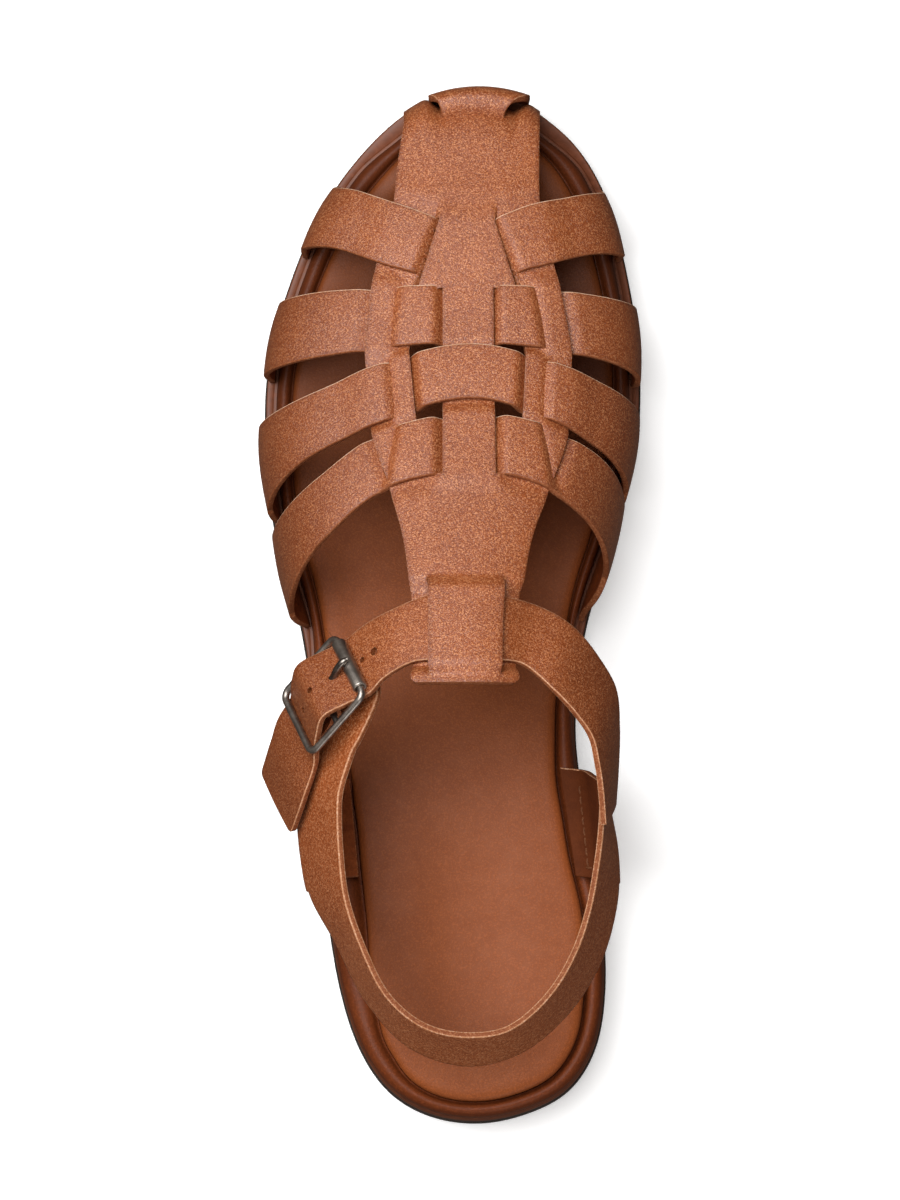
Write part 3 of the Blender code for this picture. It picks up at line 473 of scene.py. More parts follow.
# Seams on the ears, counted in columns from the rear edge and in rows from the band
SEAM_COLUMN = 4
SEAM_ROW = 35
SEAM_FREE_ROWS = 4
SEAM_START = 0.5
SEAM_LIFT = 0.05
STITCH_LENGTH = 1.9
STITCH_PITCH = 2.8
STITCH_ARCH = 0.35
STITCH_SINK = 0.25
STITCH_POINTS = (0.0, 0.2, 0.5, 0.8, 1.0)
THREAD_RADIUS = 0.3
THREAD_ROUNDNESS = 2

# Ears go down from the heel band: front and rear point of each row
EarRow = namedtuple("EarRow", "fx fy fz rx ry rz")
LATERAL_EAR = [
    EarRow(-40.0, -52.0, 43.0, -37.4, -79.0, 41.0),
    EarRow(-38.0, -50.2, 34.0, -36.0, -77.2, 34.0),
    EarRow(-35.6, -49.0, 28.0, -33.8, -75.6, 28.0),
    EarRow(-33.0, -48.4, 25.6, -31.2, -75.0, 25.6),
    EarRow(-29.6, -48.2, 25.0, -27.6, -74.8, 25.0),
    EarRow(-27.0, -48.0, 24.8, -24.6, -74.6, 24.8),
]
MEDIAL_EAR = [
    EarRow(40.2, -49.4, 43.0, 44.2, -77.0, 41.0),
    EarRow(38.4, -47.6, 34.0, 42.2, -76.0, 34.0),
    EarRow(36.4, -46.0, 28.2, 39.8, -75.2, 28.2),
    EarRow(33.8, -45.4, 25.7, 37.0, -74.8, 25.7),
    EarRow(31.6, -45.2, 25.0, 35.6, -74.6, 25.0),
    EarRow(29.6, -45.0, 24.8, 34.0, -74.4, 24.8),
]

# Buckle corners on the wire: front low, front high, rear high, rear low
BUCKLE_CORNERS = [
    Vector((-31.4, -12.4, 70.2)),
    Vector((-22.9, -29.8, 84.2)),
    Vector((-37.0, -44.8, 73.2)),
    Vector((-44.7, -27.1, 59.2)),
]
BUCKLE_CENTRE = sum(BUCKLE_CORNERS, Vector()) / 4
BUCKLE_ALONG = (BUCKLE_CORNERS[2] + BUCKLE_CORNERS[3] - BUCKLE_CORNERS[0] - BUCKLE_CORNERS[1]).normalized()
BUCKLE_OUT = (BUCKLE_CORNERS[1] - BUCKLE_CORNERS[0]).cross(BUCKLE_ALONG).normalized()
if BUCKLE_OUT.z < 0:
    BUCKLE_OUT = -BUCKLE_OUT
BUCKLE_ACROSS = BUCKLE_ALONG.cross(BUCKLE_OUT)
if BUCKLE_ACROSS.z < 0:
    BUCKLE_ACROSS = -BUCKLE_ACROSS

# Strap through the buckle: place along the buckle and height over its plane
BucklePoint = namedtuple("BucklePoint", "along out")
STRAP_HUMP = [
    BucklePoint(BUCKLE_HALF_LENGTH, -2.4),
    BucklePoint(BUCKLE_HALF_LENGTH / 2, 1.6),
    BucklePoint(0.0, 4.3),
    BucklePoint(-BUCKLE_HALF_LENGTH / 2, 1.0),
    BucklePoint(-BUCKLE_HALF_LENGTH, -3.1),
]
# Fine folds of the strap between roller and middle bar, and the waves in them: width and turn per millimetre
FOLD_PITCH = 2.4
FOLD_DEPTH = 0.13
FOLD_MIDDLE = -4.0
FOLD_REACH = 4.0
FOLD_HALF_WIDTH = 10.0
FOLD_WAVES = ((0.6, 0.5), (0.3, 1.3))
# Punched holes of the strap: place along the buckle and across it, and radius
Hole = namedtuple("Hole", "along across radius")
STRAP_HOLES = [
    Hole(-18.9, 0.5, 1.1),
    Hole(-14.6, -0.3, 0.75),
    Hole(-0.2, 0.1, 0.85),
    Hole(6.2, 0.6, 0.7),
]
PUNCH_LENGTH = 40.0
PUNCH_SIDES = 20

# Half profiles of the turned pieces, from the inner edge of one end: inset from that end and radius
RimRow = namedtuple("RimRow", "inset radius")
ROLLER_RIM = [
    RimRow(0.0, WIRE_RADIUS + ROLLER_GAP),
    RimRow(0.0, ROLLER_RADIUS - 0.3),
    RimRow(0.12, ROLLER_RADIUS - 0.08),
    RimRow(0.4, ROLLER_RADIUS),
]
PIN_EYE_RIM = [
    RimRow(0.0, 1.0),
    RimRow(0.0, 2.0),
    RimRow(0.3, 2.2),
]
# Pin, from its eye to its point
PIN_PATH = [
    BucklePoint(-0.6, 1.7),
    BucklePoint(-4.0, 1.5),
    BucklePoint(-7.0, 1.9),
    BucklePoint(-9.4, 2.7),
    BucklePoint(-12.2, 2.9),
    BucklePoint(-13.6, 2.2),
]
# Leather fold round the middle bar: its run to the bar, its turn in degrees and its end
CHAPE_START = [
    BucklePoint(13.5, -4.2),
    BucklePoint(8.0, -4.1),
    BucklePoint(4.0, -3.4),
]
CHAPE_TURN = (-50.0, 230.0)
CHAPE_TURN_POINTS = 13
CHAPE_TURN_RADIUS = 1.85
CHAPE_END = [
    BucklePoint(0.6, -3.6),
    BucklePoint(2.5, -4.6),
]
CHAPE_HALVES = ((-6.0, -1.7), (1.7, 6.0))
CHAPE_ROWS = 90
CHAPE_COLUMNS = 9


# Curves through tables
def column(table, name):
    return np.array([getattr(row, name) for row in table], float)


def smooth(points, values, places):
    """Smooth curve through a table, read at an array of places; a row may hold several values."""
    points = np.asarray(points, float)
    values = np.asarray(values, float)
    if points[0] > points[-1]:
        points = points[::-1]
        values = values[::-1]
    spans = np.diff(points)
    wide = spans.reshape((-1,) + (1,) * (values.ndim - 1))
    rises = np.diff(values, axis=0) / wide
    slopes = np.empty_like(values)
    slopes[0] = rises[0]
    slopes[-1] = rises[-1]
    slopes[1:-1] = (rises[:-1] * wide[1:] + rises[1:] * wide[:-1]) / (wide[:-1] + wide[1:])
    places = np.clip(np.asarray(places, float), points[0], points[-1])
    index = np.clip(np.searchsorted(points, places, side="right") - 1, 0, len(spans) - 1)
    t = (places - points[index]) / spans[index]
    if values.ndim == 2:
        t = t[..., None]
    start = (2 * t ** 3 - 3 * t ** 2 + 1) * values[index]
    start_slope = (t ** 3 - 2 * t ** 2 + t) * wide[index] * slopes[index]
    end = (3 * t ** 2 - 2 * t ** 3) * values[index + 1]
    end_slope = (t ** 3 - t ** 2) * wide[index] * slopes[index + 1]
    return start + start_slope + end + end_slope


def rise(low, high, places):
    """0 below low, 1 above high, smooth between."""
    t = np.clip((places - low) / (high - low), 0.0, 1.0)
    return t * t * (3 - 2 * t)


def even(table, name, y):
    """Even blend between the rows of a table that runs along y."""
    rows = sorted(table)
    points = column(rows, "y")
    values = column(rows, name)
    y = np.clip(y, points[0], points[-1])
    index = np.clip(np.searchsorted(points, y) - 1, 0, len(points) - 2)
    share = rise(points[index], points[index + 1], y)
    return values[index] * (1 - share) + values[index + 1] * share


def walked_along(points):
    """Distance walked along a line of points, from its first one."""
    return np.concatenate([[0.0], np.cumsum(np.linalg.norm(np.diff(points, axis=0), axis=1))])


def nearest_distance(points, edge_points):
    """Distance of each point to the nearest of the edge points, worked out in slices."""
    slice_size = 2000
    found = np.empty(len(points))
    for first in range(0, len(points), slice_size):
        part = points[first:first + slice_size]
        found[first:first + slice_size] = np.sqrt(((part[:, None] - edge_points[None]) ** 2).sum(-1).min(1))
    return found


# Heights along the sole
def toe_lift(y):
    return np.clip((y - TOE_SPRING_START) / (HALF_LENGTH - TOE_SPRING_START), 0.0, None) ** 2 * TOE_SPRING


def bottom(y):
    arch = rise(*ARCH_HEEL_SLOPE, y) * (1.0 - rise(*ARCH_BALL_SLOPE, y)) * ARCH_RISE
    return toe_lift(y) + arch


def ledge(y):
    return LEDGE_HEEL + (LEDGE_FOREFOOT - LEDGE_HEEL) * rise(*LEDGE_SLOPE, y) + toe_lift(y)


def pad_top(y):
    extra = PAD_ABOVE_ROLL_HEEL + (PAD_ABOVE_ROLL_FOREFOOT - PAD_ABOVE_ROLL_HEEL) * rise(*PAD_SLOPE, y)
    return ledge(y) + ROLL_HEIGHT + extra


def outline_x(side, y):
    """Edge of the outsole; the angle round the length keeps toe and heel round."""
    angles = np.arccos(column(OUTLINE, "y") / HALF_LENGTH)
    place = np.arccos(np.clip(y / HALF_LENGTH, -1.0, 1.0))
    lateral = smooth(angles, column(OUTLINE, "lateral"), place)
    medial = smooth(angles, column(OUTLINE, "medial"), place)
    return np.where(np.asarray(side) < 0, lateral, medial)


def sole_loop():
    """Outsole edge as a closed loop: toe tip, lateral side, heel, medial side; x, y and side."""
    y = HALF_LENGTH * np.cos(np.linspace(0.0, math.pi, SOLE_STATIONS + 1))
    y = np.concatenate([y, y[-2:0:-1]])
    side = np.where(np.arange(len(y)) <= SOLE_STATIONS, -1, 1)
    return outline_x(side, y), y, side


LOOP_X, LOOP_Y, LOOP_SIDE = sole_loop()


def loop_inset(table):
    lateral = even(table, "lateral", LOOP_Y)
    medial = even(table, "medial", LOOP_Y)
    return np.where(LOOP_SIDE < 0, lateral, medial)


def inset_loop(amount):
    """The outsole edge moved inwards by an amount that may differ along the edge."""
    along = np.stack([np.roll(LOOP_X, -1) - np.roll(LOOP_X, 1), np.roll(LOOP_Y, -1) - np.roll(LOOP_Y, 1)])
    along = along / np.linalg.norm(along, axis=0)
    return LOOP_X - along[1] * amount, LOOP_Y + along[0] * amount


def sole_ring(amount, height):
    """Ring of the sole at an inset, with the height of each of its points."""
    x, y = inset_loop(amount)
    return np.stack([x, y, height], axis=1)


def edge_rings(rows, inset, height):
    """Rings of a layer's edge, set from an inset and a height along the edge."""
    return [sole_ring(inset + row.inset, height + row.height) for row in rows]


# The last that the straps follow
def last_curve(name, y):
    return smooth(column(LAST, "y"), column(LAST, name), y)


def wall_x(side, y):
    return np.where(side < 0, last_curve("lateral", y), last_curve("medial", y)) - side * LEATHER / 2


def last_point(y, place):
    """Middle of the leather: place 0 is the ridge, 1 the widest point, 2 the foot of the wall."""
    y, place = np.broadcast_arrays(np.asarray(y, float), np.asarray(place, float))
    side = np.where(place < 0, -1.0, 1.0)
    wall = wall_x(side, y)
    ridge_x = last_curve("ridge_x", y)
    ridge_z = last_curve("ridge_z", y)
    wall_z = last_curve("wall_z", y)
    angle = np.clip(np.abs(place), 0.0, 1.0) * math.pi / 2
    across = np.sin(angle) ** (2 / FULLNESS)
    upward = np.clip(np.cos(angle), 0.0, None) ** (2 / FULLNESS)
    down = np.clip(np.abs(place) - 1.0, 0.0, None)
    foot_x = outline_x(side, y) - side * STRAP_BASE_INSET
    foot_z = ledge(y) - CLEARANCE
    x = ridge_x + (wall - ridge_x) * across + (foot_x - wall) * rise(0.0, 1.0, down)
    z = wall_z + (ridge_z - wall_z) * upward + (foot_z - wall_z) * down
    return np.stack([x, y, z], axis=-1)


def place_at(x, y):
    """Position round the last of a point with the given x."""
    ridge_x = last_curve("ridge_x", y)
    side = np.where(x < ridge_x, -1.0, 1.0)
    across = np.clip(np.abs((x - ridge_x) / (wall_x(side, y) - ridge_x)), 0.0, 1.0)
    return side * np.arcsin(across ** (FULLNESS / 2)) * 2 / math.pi


def last_normal(y, place):
    y_step = 1.0
    place_step = 0.03
    along = last_point(y + y_step, place) - last_point(y - y_step, place)
    across = last_point(y, place + place_step) - last_point(y, place - place_step)
    normal = np.cross(across, along)
    return normal / np.linalg.norm(normal, axis=-1, keepdims=True)


def strap_edge(name, place):
    return smooth(column(STRAPS, "place"), column(STRAPS, name), place)


def spine_edges(y):
    """x of the spine's lateral and medial edges."""
    lateral = smooth(column(SPINE, "y"), column(SPINE, "lateral"), y)
    medial = smooth(column(SPINE, "y"), column(SPINE, "medial"), y)
    return lateral, medial


# Mesh helpers
def link(name, data):
    item = bpy.data.objects.new(name, data)
    bpy.context.scene.collection.objects.link(item)
    return item


def mesh_object(name, points, faces, materials):
    """Smooth mesh object from points in millimetres."""
    mesh = bpy.data.meshes.new(name)
    mesh.from_pydata((np.asarray(points, float) * MM).tolist(), [], faces)
    for material in materials:
        mesh.materials.append(material)
    mesh.shade_smooth()
    return link(name, mesh)


def mesh_from(shape, name):
    """Mesh data from a bmesh, which is freed."""
    mesh = bpy.data.meshes.new(name)
    shape.to_mesh(mesh)
    shape.free()
    return mesh


def evaluated_mesh(item):
    depsgraph = bpy.context.evaluated_depsgraph_get()
    return bpy.data.meshes.new_from_object(item.evaluated_get(depsgraph))


def baked(item):
    """Replace an object's mesh by its evaluated one and drop the modifiers."""
    mesh = evaluated_mesh(item)
    item.modifiers.clear()
    item.data = mesh
    return item


def cut_away(item, shape, name, materials=()):
    """Cut a shape out of a piece; the shape's materials show on the cut faces."""
    mesh = mesh_from(shape, name)
    for material in materials:
        mesh.materials.append(material)
    cutter = link(name, mesh)
    cut = item.modifiers.new(name, "BOOLEAN")
    cut.operation = "DIFFERENCE"
    cut.object = cutter
    baked(item)
    bpy.data.objects.remove(cutter)


def round_edges(item, width, angle):
    """Bevel the edges that are sharper than an angle in degrees."""
    bevel = item.modifiers.new("edge", "BEVEL")
    bevel.width = width * MM
    bevel.segments = 2
    bevel.limit_method = "ANGLE"
    bevel.angle_limit = math.radians(angle)
    return bevel


def turn_outwards(item):
    shape = bmesh.new()
    shape.from_mesh(item.data)
    bmesh.ops.recalc_face_normals(shape, faces=shape.faces)
    shape.to_mesh(item.data)
    shape.free()
    return item


def grid_faces(rows, columns, flip=False):
    first = (np.arange(rows - 1)[:, None] * columns + np.arange(columns - 1)[None, :]).ravel()
    quads = np.stack([first, first + 1, first + columns + 1, first + columns], axis=1)
    if flip:
        quads = quads[:, ::-1]
    return quads.tolist()


def grid_normals(points):
    """Unit normals of a grid of points."""
    normal = np.cross(np.gradient(points, axis=1), np.gradient(points, axis=0))
    length = np.linalg.norm(normal, axis=-1, keepdims=True)
    return normal / np.maximum(length, 1e-9)


def faces_inwards(points, centre):
    """Whether the normals of a grid of points face its centre."""
    return np.sum(grid_normals(points) * (points - np.asarray(centre))) < 0


def ring_faces(count, levels):
    index = np.arange(count)
    after = (index + 1) % count
    faces = []
    for level in range(levels - 1):
        low = level * count
        high = low + count
        faces.append(np.stack([low + index, low + after, high + after, high + index], axis=1))
    return np.concatenate(faces).tolist()


def end_faces(first, count):
    """Flat cover of a sole ring, in strips from side to side."""
    half = count // 2
    faces = [(first, first + 1, first + count - 1)]
    for step in range(1, half - 1):
        faces.append((first + step, first + step + 1, first + count - step - 1, first + count - step))
    faces.append((first + half - 1, first + half, first + half + 1))
    return faces


def sole_solid(name, rings, materials):
    """Solid through rings of the sole, closed at the first and the last ring."""
    count = len(LOOP_X)
    faces = ring_faces(count, len(rings))
    faces += end_faces(0, count)
    faces += end_faces((len(rings) - 1) * count, count)
    return turn_outwards(mesh_object(name, np.concatenate(rings), faces, materials))


def leather_sheet(name, points, faces, finish, thickness, edge_distance):
    """Sheet with its real thickness: grain side outwards, flesh side inwards and a rounded cut edge."""
    item = mesh_object(name, points, faces, finish)
    attribute = item.data.attributes.new("edge_distance", "FLOAT", "POINT")
    attribute.data.foreach_set("value", np.asarray(edge_distance, np.float32).ravel())
    solidify = item.modifiers.new("thickness", "SOLIDIFY")
    solidify.thickness = thickness * MM
    solidify.offset = 0.0
    solidify.material_offset = FLESH_FACE
    solidify.material_offset_rim = CUT_FACE
    round_edges(item, EDGE_ROUND, EDGE_ANGLE).material = CORNER_FACE
    return item


def round_curve(name, radius, roundness, capped):
    """Empty curve with a round section."""
    curve = bpy.data.curves.new(name, "CURVE")
    curve.dimensions = "3D"
    curve.bevel_depth = radius * MM
    curve.bevel_resolution = roundness
    curve.use_fill_caps = capped
    return curve


def curve_mesh(name, curve, material):
    """Mesh piece from a curve with a round section."""
    item = link(name, curve)
    mesh = evaluated_mesh(item)
    bpy.data.objects.remove(item)
    mesh.materials.clear()
    mesh.materials.append(material)
    mesh.shade_smooth()
    return link(name, mesh)


def shade_rear_edges(item):
    """Corners that face the heel stay brown, in shade; only the others keep the painted highlight."""
    baked(item)
    for polygon in item.data.polygons:
        if polygon.material_index == CORNER_FACE and polygon.normal.y < REAR_FACING:
            polygon.material_index = CUT_FACE
    return item


def grid_edge_distance(points):
    """Distance of each point of a grid to the nearer of its two long edges."""
    steps = np.linalg.norm(np.diff(points, axis=1), axis=-1)
    walked = np.concatenate([np.zeros((len(points), 1)), np.cumsum(steps, axis=1)], axis=1)
    return np.minimum(walked, walked[:, -1:] - walked)


def leather_band(name, points, finish, thickness, centre):
    """Strap from a grid of points, turned so that its grain side faces away from the centre."""
    faces = grid_faces(points.shape[0], points.shape[1], faces_inwards(points, centre))
    return leather_sheet(name, points.reshape(-1, 3), faces, finish, thickness, grid_edge_distance(points))


# Shader helpers
def feed(tree, socket, value):
    """Link a socket to another one, or set its value; a colour is three numbers."""
    if isinstance(value, bpy.types.NodeSocket):
        tree.links.new(value, socket)
    elif socket.type == "RGBA":
        socket.default_value = (*value, 1.0)
    else:
        socket.default_value = value


def add_node(tree, kind, inputs=(), **settings):
    node = tree.nodes.new(kind)
    for name, value in settings.items():
        setattr(node, name, value)
    for name, value in dict(inputs).items():
        feed(tree, node.inputs[name], value)
    return node


def math_node(tree, operation, first, second=0.0, clamp=False):
    inputs = {0: first, 1: second}
    return add_node(tree, "ShaderNodeMath", inputs, operation=operation, use_clamp=clamp).outputs[0]


def scaled(tree, value, factor):
    return math_node(tree, "MULTIPLY", value, factor)


def mix_colour(tree, factor, first, second):
    """Mix of two colours; sockets 0, 6 and 7 of the node are its factor and its colours."""
    inputs = {0: factor, 6: first, 7: second}
    return add_node(tree, "ShaderNodeMix", inputs, data_type="RGBA").outputs[2]


def tinted(tree, body, mask, share, colour):
    """A body colour with another one mixed in by a share of a mask."""
    return mix_colour(tree, scaled(tree, mask, share), body, colour)


def ranged(tree, value, low, high, new_low=0.0, new_high=1.0):
    inputs = {"Value": value, "From Min": low, "From Max": high, "To Min": new_low, "To Max": new_high}
    return add_node(tree, "ShaderNodeMapRange", inputs).outputs["Result"]


def noise(tree, scale, detail, distortion=0.0, roughness=0.5):
    inputs = {
        "Vector": object_place(tree),
        "Scale": scale,
        "Detail": detail,
        "Roughness": roughness,
        "Distortion": distortion,
    }
    return add_node(tree, "ShaderNodeTexNoise", inputs).outputs["Fac"]


def object_place(tree):
    return tree.nodes.new("ShaderNodeTexCoord").outputs["Object"]


def object_axes(tree):
    return add_node(tree, "ShaderNodeSeparateXYZ", {"Vector": object_place(tree)}).outputs


def new_group(name, inputs, outputs):
    """Empty shader node group with named float inputs and outputs, and the sockets of both in it."""
    tree = bpy.data.node_groups.new(name, "ShaderNodeTree")
    for label, default in inputs.items():
        socket = tree.interface.new_socket(label, in_out="INPUT", socket_type="NodeSocketFloat")
        socket.default_value = default
    for label in outputs:
        tree.interface.new_socket(label, in_out="OUTPUT", socket_type="NodeSocketFloat")
    return tree, tree.nodes.new("NodeGroupInput").outputs, tree.nodes.new("NodeGroupOutput").inputs


# Bands of the curl noise that show as pale fibres and as dark pores
FIBRE_BAND = (0.52, 0.67)
PORE_BAND = (0.32, 0.47)
# Broad patches under the mottling, and their share of the tone
PATCH_SCALE = 38.0
PATCH_SHARE = 0.45
MOTTLE_BAND = (0.3, 0.7)
MOTTLE_RELIEF = 0.3
# How far the border of the burnished edge wanders, in millimetres, and how finely
BURNISH_WANDER = 1.6
BURNISH_WANDER_SCALE = 420.0
RUB_SCALE = 260.0
RUB_BAND = (0.42, 0.72)
SCRATCH_BAND = (0.3, 0.7)
SCUFF_BAND = (0.35, 0.75)
RUBBER_GRAIN_SCALE = 2600.0
RUBBER_GRAIN_RELIEF = 0.4


def leather_grain_group():
    """Mottled tone, short pale fibres, dark pores and a bump height for brushed leather."""
    outputs = ("Mottle", "Fibre", "Pores", "Height")
    tree, given, out = new_group("leather_grain", {"Fibre Scale": 1100.0, "Mottle Scale": 120.0}, outputs)
    patches = noise(tree, PATCH_SCALE, detail=3.0)
    mottle = noise(tree, given["Mottle Scale"], detail=4.0, distortion=0.4, roughness=0.6)
    curls = noise(tree, given["Fibre Scale"], detail=0.0, distortion=1.0)
    fine_tone = scaled(tree, mottle, 1.0 - PATCH_SHARE)
    tone = math_node(tree, "ADD", scaled(tree, patches, PATCH_SHARE), fine_tone)
    feed(tree, out["Mottle"], ranged(tree, tone, *MOTTLE_BAND))
    feed(tree, out["Fibre"], ranged(tree, curls, *FIBRE_BAND))
    feed(tree, out["Pores"], ranged(tree, curls, *PORE_BAND, 1.0, 0.0))
    feed(tree, out["Height"], math_node(tree, "ADD", curls, scaled(tree, mottle, MOTTLE_RELIEF)))
    return tree


def edge_burnish_group():
    """1 close to the cut edge of a strap and 0 inside it, with a broken border."""
    tree, given, out = new_group("edge_burnish", {"Reach": 1.6}, ["Burnish"])
    distance = add_node(tree, "ShaderNodeAttribute", attribute_name="edge_distance").outputs["Fac"]
    uneven = math_node(tree, "SUBTRACT", noise(tree, BURNISH_WANDER_SCALE, detail=3.0), 0.5)
    moved = math_node(tree, "ADD", distance, scaled(tree, uneven, BURNISH_WANDER))
    share = math_node(tree, "DIVIDE", moved, given["Reach"])
    feed(tree, out["Burnish"], math_node(tree, "SUBTRACT", 1.0, share, clamp=True))
    return tree


def worn_metal_group():
    """Fine scratches and rubbed patches of plated metal."""
    tree, given, out = new_group("worn_metal", {"Scratch Scale": 900.0}, ["Rub", "Scratch"])
    rub = noise(tree, RUB_SCALE, detail=4.0, distortion=0.3, roughness=0.6)
    feed(tree, out["Rub"], ranged(tree, rub, *RUB_BAND))
    feed(tree, out["Scratch"], noise(tree, given["Scratch Scale"], detail=3.0, distortion=3.0))
    return tree


def sole_scuff_group():
    """Scuffs and fine grain of the sole's edges."""
    tree, given, out = new_group("sole_scuff", {"Scuff Scale": 350.0}, ["Scuff", "Height"])
    scuff = noise(tree, given["Scuff Scale"], detail=5.0, distortion=0.5, roughness=0.65)
    fine = noise(tree, RUBBER_GRAIN_SCALE, detail=2.0)
    feed(tree, out["Scuff"], ranged(tree, scuff, *SCUFF_BAND))
    feed(tree, out["Height"], math_node(tree, "ADD", scuff, scaled(tree, fine, RUBBER_GRAIN_RELIEF)))
    return tree


def painted_forefoot_shade_group():
    """Painted shade: 0 at the heel of the bed, rising to 1 under the straps, where the bed is painted darker.
    """
    tree, given, out = new_group("painted_forefoot_shade", {"Start": 0.02, "End": 0.06}, ["Wear"])
    feed(tree, out["Wear"], ranged(tree, object_axes(tree)["Y"], given["Start"], given["End"]))
    return tree


def painted_side_shade_group():
    """0 along the middle of the shoe, rising to 1 towards its sides, where the straps get painted shade."""
    tree, given, out = new_group("painted_side_shade", {"Start": 0.018, "End": 0.052}, ["Burnish"])
    across = math_node(tree, "SUBTRACT", object_axes(tree)["X"], SHOE_MIDDLE_X * MM)
    from_middle = math_node(tree, "ABSOLUTE", across)
    feed(tree, out["Burnish"], ranged(tree, from_middle, given["Start"], given["End"]))
    return tree


LEATHER_GRAIN = leather_grain_group()
PAINTED_SIDE_SHADE = painted_side_shade_group()
PAINTED_FOREFOOT_SHADE = painted_forefoot_shade_group()
EDGE_BURNISH = edge_burnish_group()
WORN_METAL = worn_metal_group()
SOLE_SCUFF = sole_scuff_group()


def new_material(name, **plain):
    """Material with one Principled shader; plain values go straight on its sockets."""
    material = bpy.data.materials.new(name)
    material.use_nodes = True
    tree = material.node_tree
    shader = tree.nodes["Principled BSDF"].inputs
    for label, value in plain.items():
        feed(tree, shader[label.replace("_", " ")], value)
    return material, tree, shader


def use_group(tree, group, **inputs):
    """Place a group in a material with its own values; returns its outputs."""
    node = add_node(tree, "ShaderNodeGroup", node_tree=group)
    for label, value in inputs.items():
        feed(tree, node.inputs[label.replace("_", " ")], value)
    return node.outputs


def set_bump(tree, shader, height, distance, strength):
    inputs = {"Height": height, "Distance": distance * MM, "Strength": strength}
    feed(tree, shader["Normal"], add_node(tree, "ShaderNodeBump", inputs).outputs["Normal"])


Tan = namedtuple("Tan", "dark light fibre edge")
UPPER_TAN = Tan((0.220, 0.047, 0.010), (0.314, 0.074, 0.0155), (0.640, 0.270, 0.116), (0.092, 0.018, 0.0035))
ANKLE_TAN = Tan((0.212, 0.047, 0.010), (0.290, 0.070, 0.016), (0.580, 0.240, 0.105), (0.092, 0.019, 0.004))
HEEL_TAN = Tan((0.300, 0.072, 0.0175), (0.396, 0.104, 0.028), (0.660, 0.282, 0.130), (0.130, 0.028, 0.007))
# Colour of the painted shade on the medial ear's inner face
EAR_PAINTED_SHADE = (0.052, 0.0115, 0.0025)
# Fibre scales of the strap leather, fine and coarse
FINE_FIBRE = 2700.0
COARSE_FIBRE = 1900.0
# Shares by which the effects tint the strap leather
PORE_TINT = 0.42
FIBRE_TINT = 0.66
EDGE_TINT = 0.35
SIDE_SHADE_TINT = 0.45
FLESH_FIBRE_TINT = 0.2
CUT_FIBRE_TINT = 0.5
# Fibres and painted shade of the bed's leather: shares, and how much lighter or darker than the leather they
# are
SOCK_FIBRE_TINT = 0.3
SOCK_FIBRE_LIGHTER = 1.7
SOCK_SHADE_TINT = 0.5
SOCK_SHADE_DARKER = 0.5


def grain_side(name, tan, gloss, fibre_scale=FINE_FIBRE):
    """Outer face of the strap leather: brushed, mottled, burnished at its edges, and painted with shade
    towards the shoe's sides.
    """
    material, tree, shader = new_material(name, Specular_IOR_Level=gloss)
    grain = use_group(tree, LEATHER_GRAIN, Fibre_Scale=fibre_scale, Mottle_Scale=110.0)
    edges = use_group(tree, EDGE_BURNISH, Reach=1.5)
    side_shade = use_group(tree, PAINTED_SIDE_SHADE)
    body = mix_colour(tree, grain["Mottle"], tan.dark, tan.light)
    body = tinted(tree, body, grain["Pores"], PORE_TINT, tan.edge)
    body = tinted(tree, body, grain["Fibre"], FIBRE_TINT, tan.fibre)
    body = tinted(tree, body, edges["Burnish"], EDGE_TINT, tan.edge)
    # Painted shade: the straps darker towards the shoe's sides, where they slope away from the light
    body = tinted(tree, body, side_shade["Burnish"], SIDE_SHADE_TINT, tan.edge)
    feed(tree, shader["Base Color"], body)
    feed(tree, shader["Roughness"], ranged(tree, grain["Mottle"], 0.0, 1.0, 0.43, 0.35))
    set_bump(tree, shader, grain["Height"], distance=0.2, strength=0.85)
    return material


def flesh_side(name, tan, overlay=None):
    """Inner face of the strap leather: duller, with painted shade low on the medial side if a colour is
    given.
    """
    material, tree, shader = new_material(name, Roughness=0.8, Specular_IOR_Level=0.12)
    grain = use_group(tree, LEATHER_GRAIN, Fibre_Scale=900.0, Mottle_Scale=220.0)
    body = mix_colour(tree, grain["Mottle"], tan.edge, tan.dark)
    body = tinted(tree, body, grain["Fibre"], FLESH_FIBRE_TINT, tan.light)
    if overlay:
        # Painted shade, low on the medial side
        axes = object_axes(tree)
        lowest, highest = EAR_SHADE_BELOW
        low = ranged(tree, axes["Z"], lowest * MM, highest * MM, 1.0, 0.0)
        medial = ranged(tree, axes["X"], 0.0, EAR_SHADE_PAST * MM)
        body = tinted(tree, body, math_node(tree, "MULTIPLY", low, medial), EAR_SHADE_SHARE, overlay)
    feed(tree, shader["Base Color"], body)
    set_bump(tree, shader, grain["Height"], distance=0.2, strength=0.6)
    return material


def cut_edge(name, dark, light, fibre):
    """Cut edge of the leather, with short fibres."""
    material, tree, shader = new_material(name, Roughness=0.7, Specular_IOR_Level=0.2)
    grain = use_group(tree, LEATHER_GRAIN, Fibre_Scale=1900.0, Mottle_Scale=700.0)
    body = mix_colour(tree, grain["Mottle"], dark, light)
    feed(tree, shader["Base Color"], tinted(tree, body, grain["Fibre"], CUT_FIBRE_TINT, fibre))
    set_bump(tree, shader, grain["Height"], distance=0.12, strength=0.6)
    return material


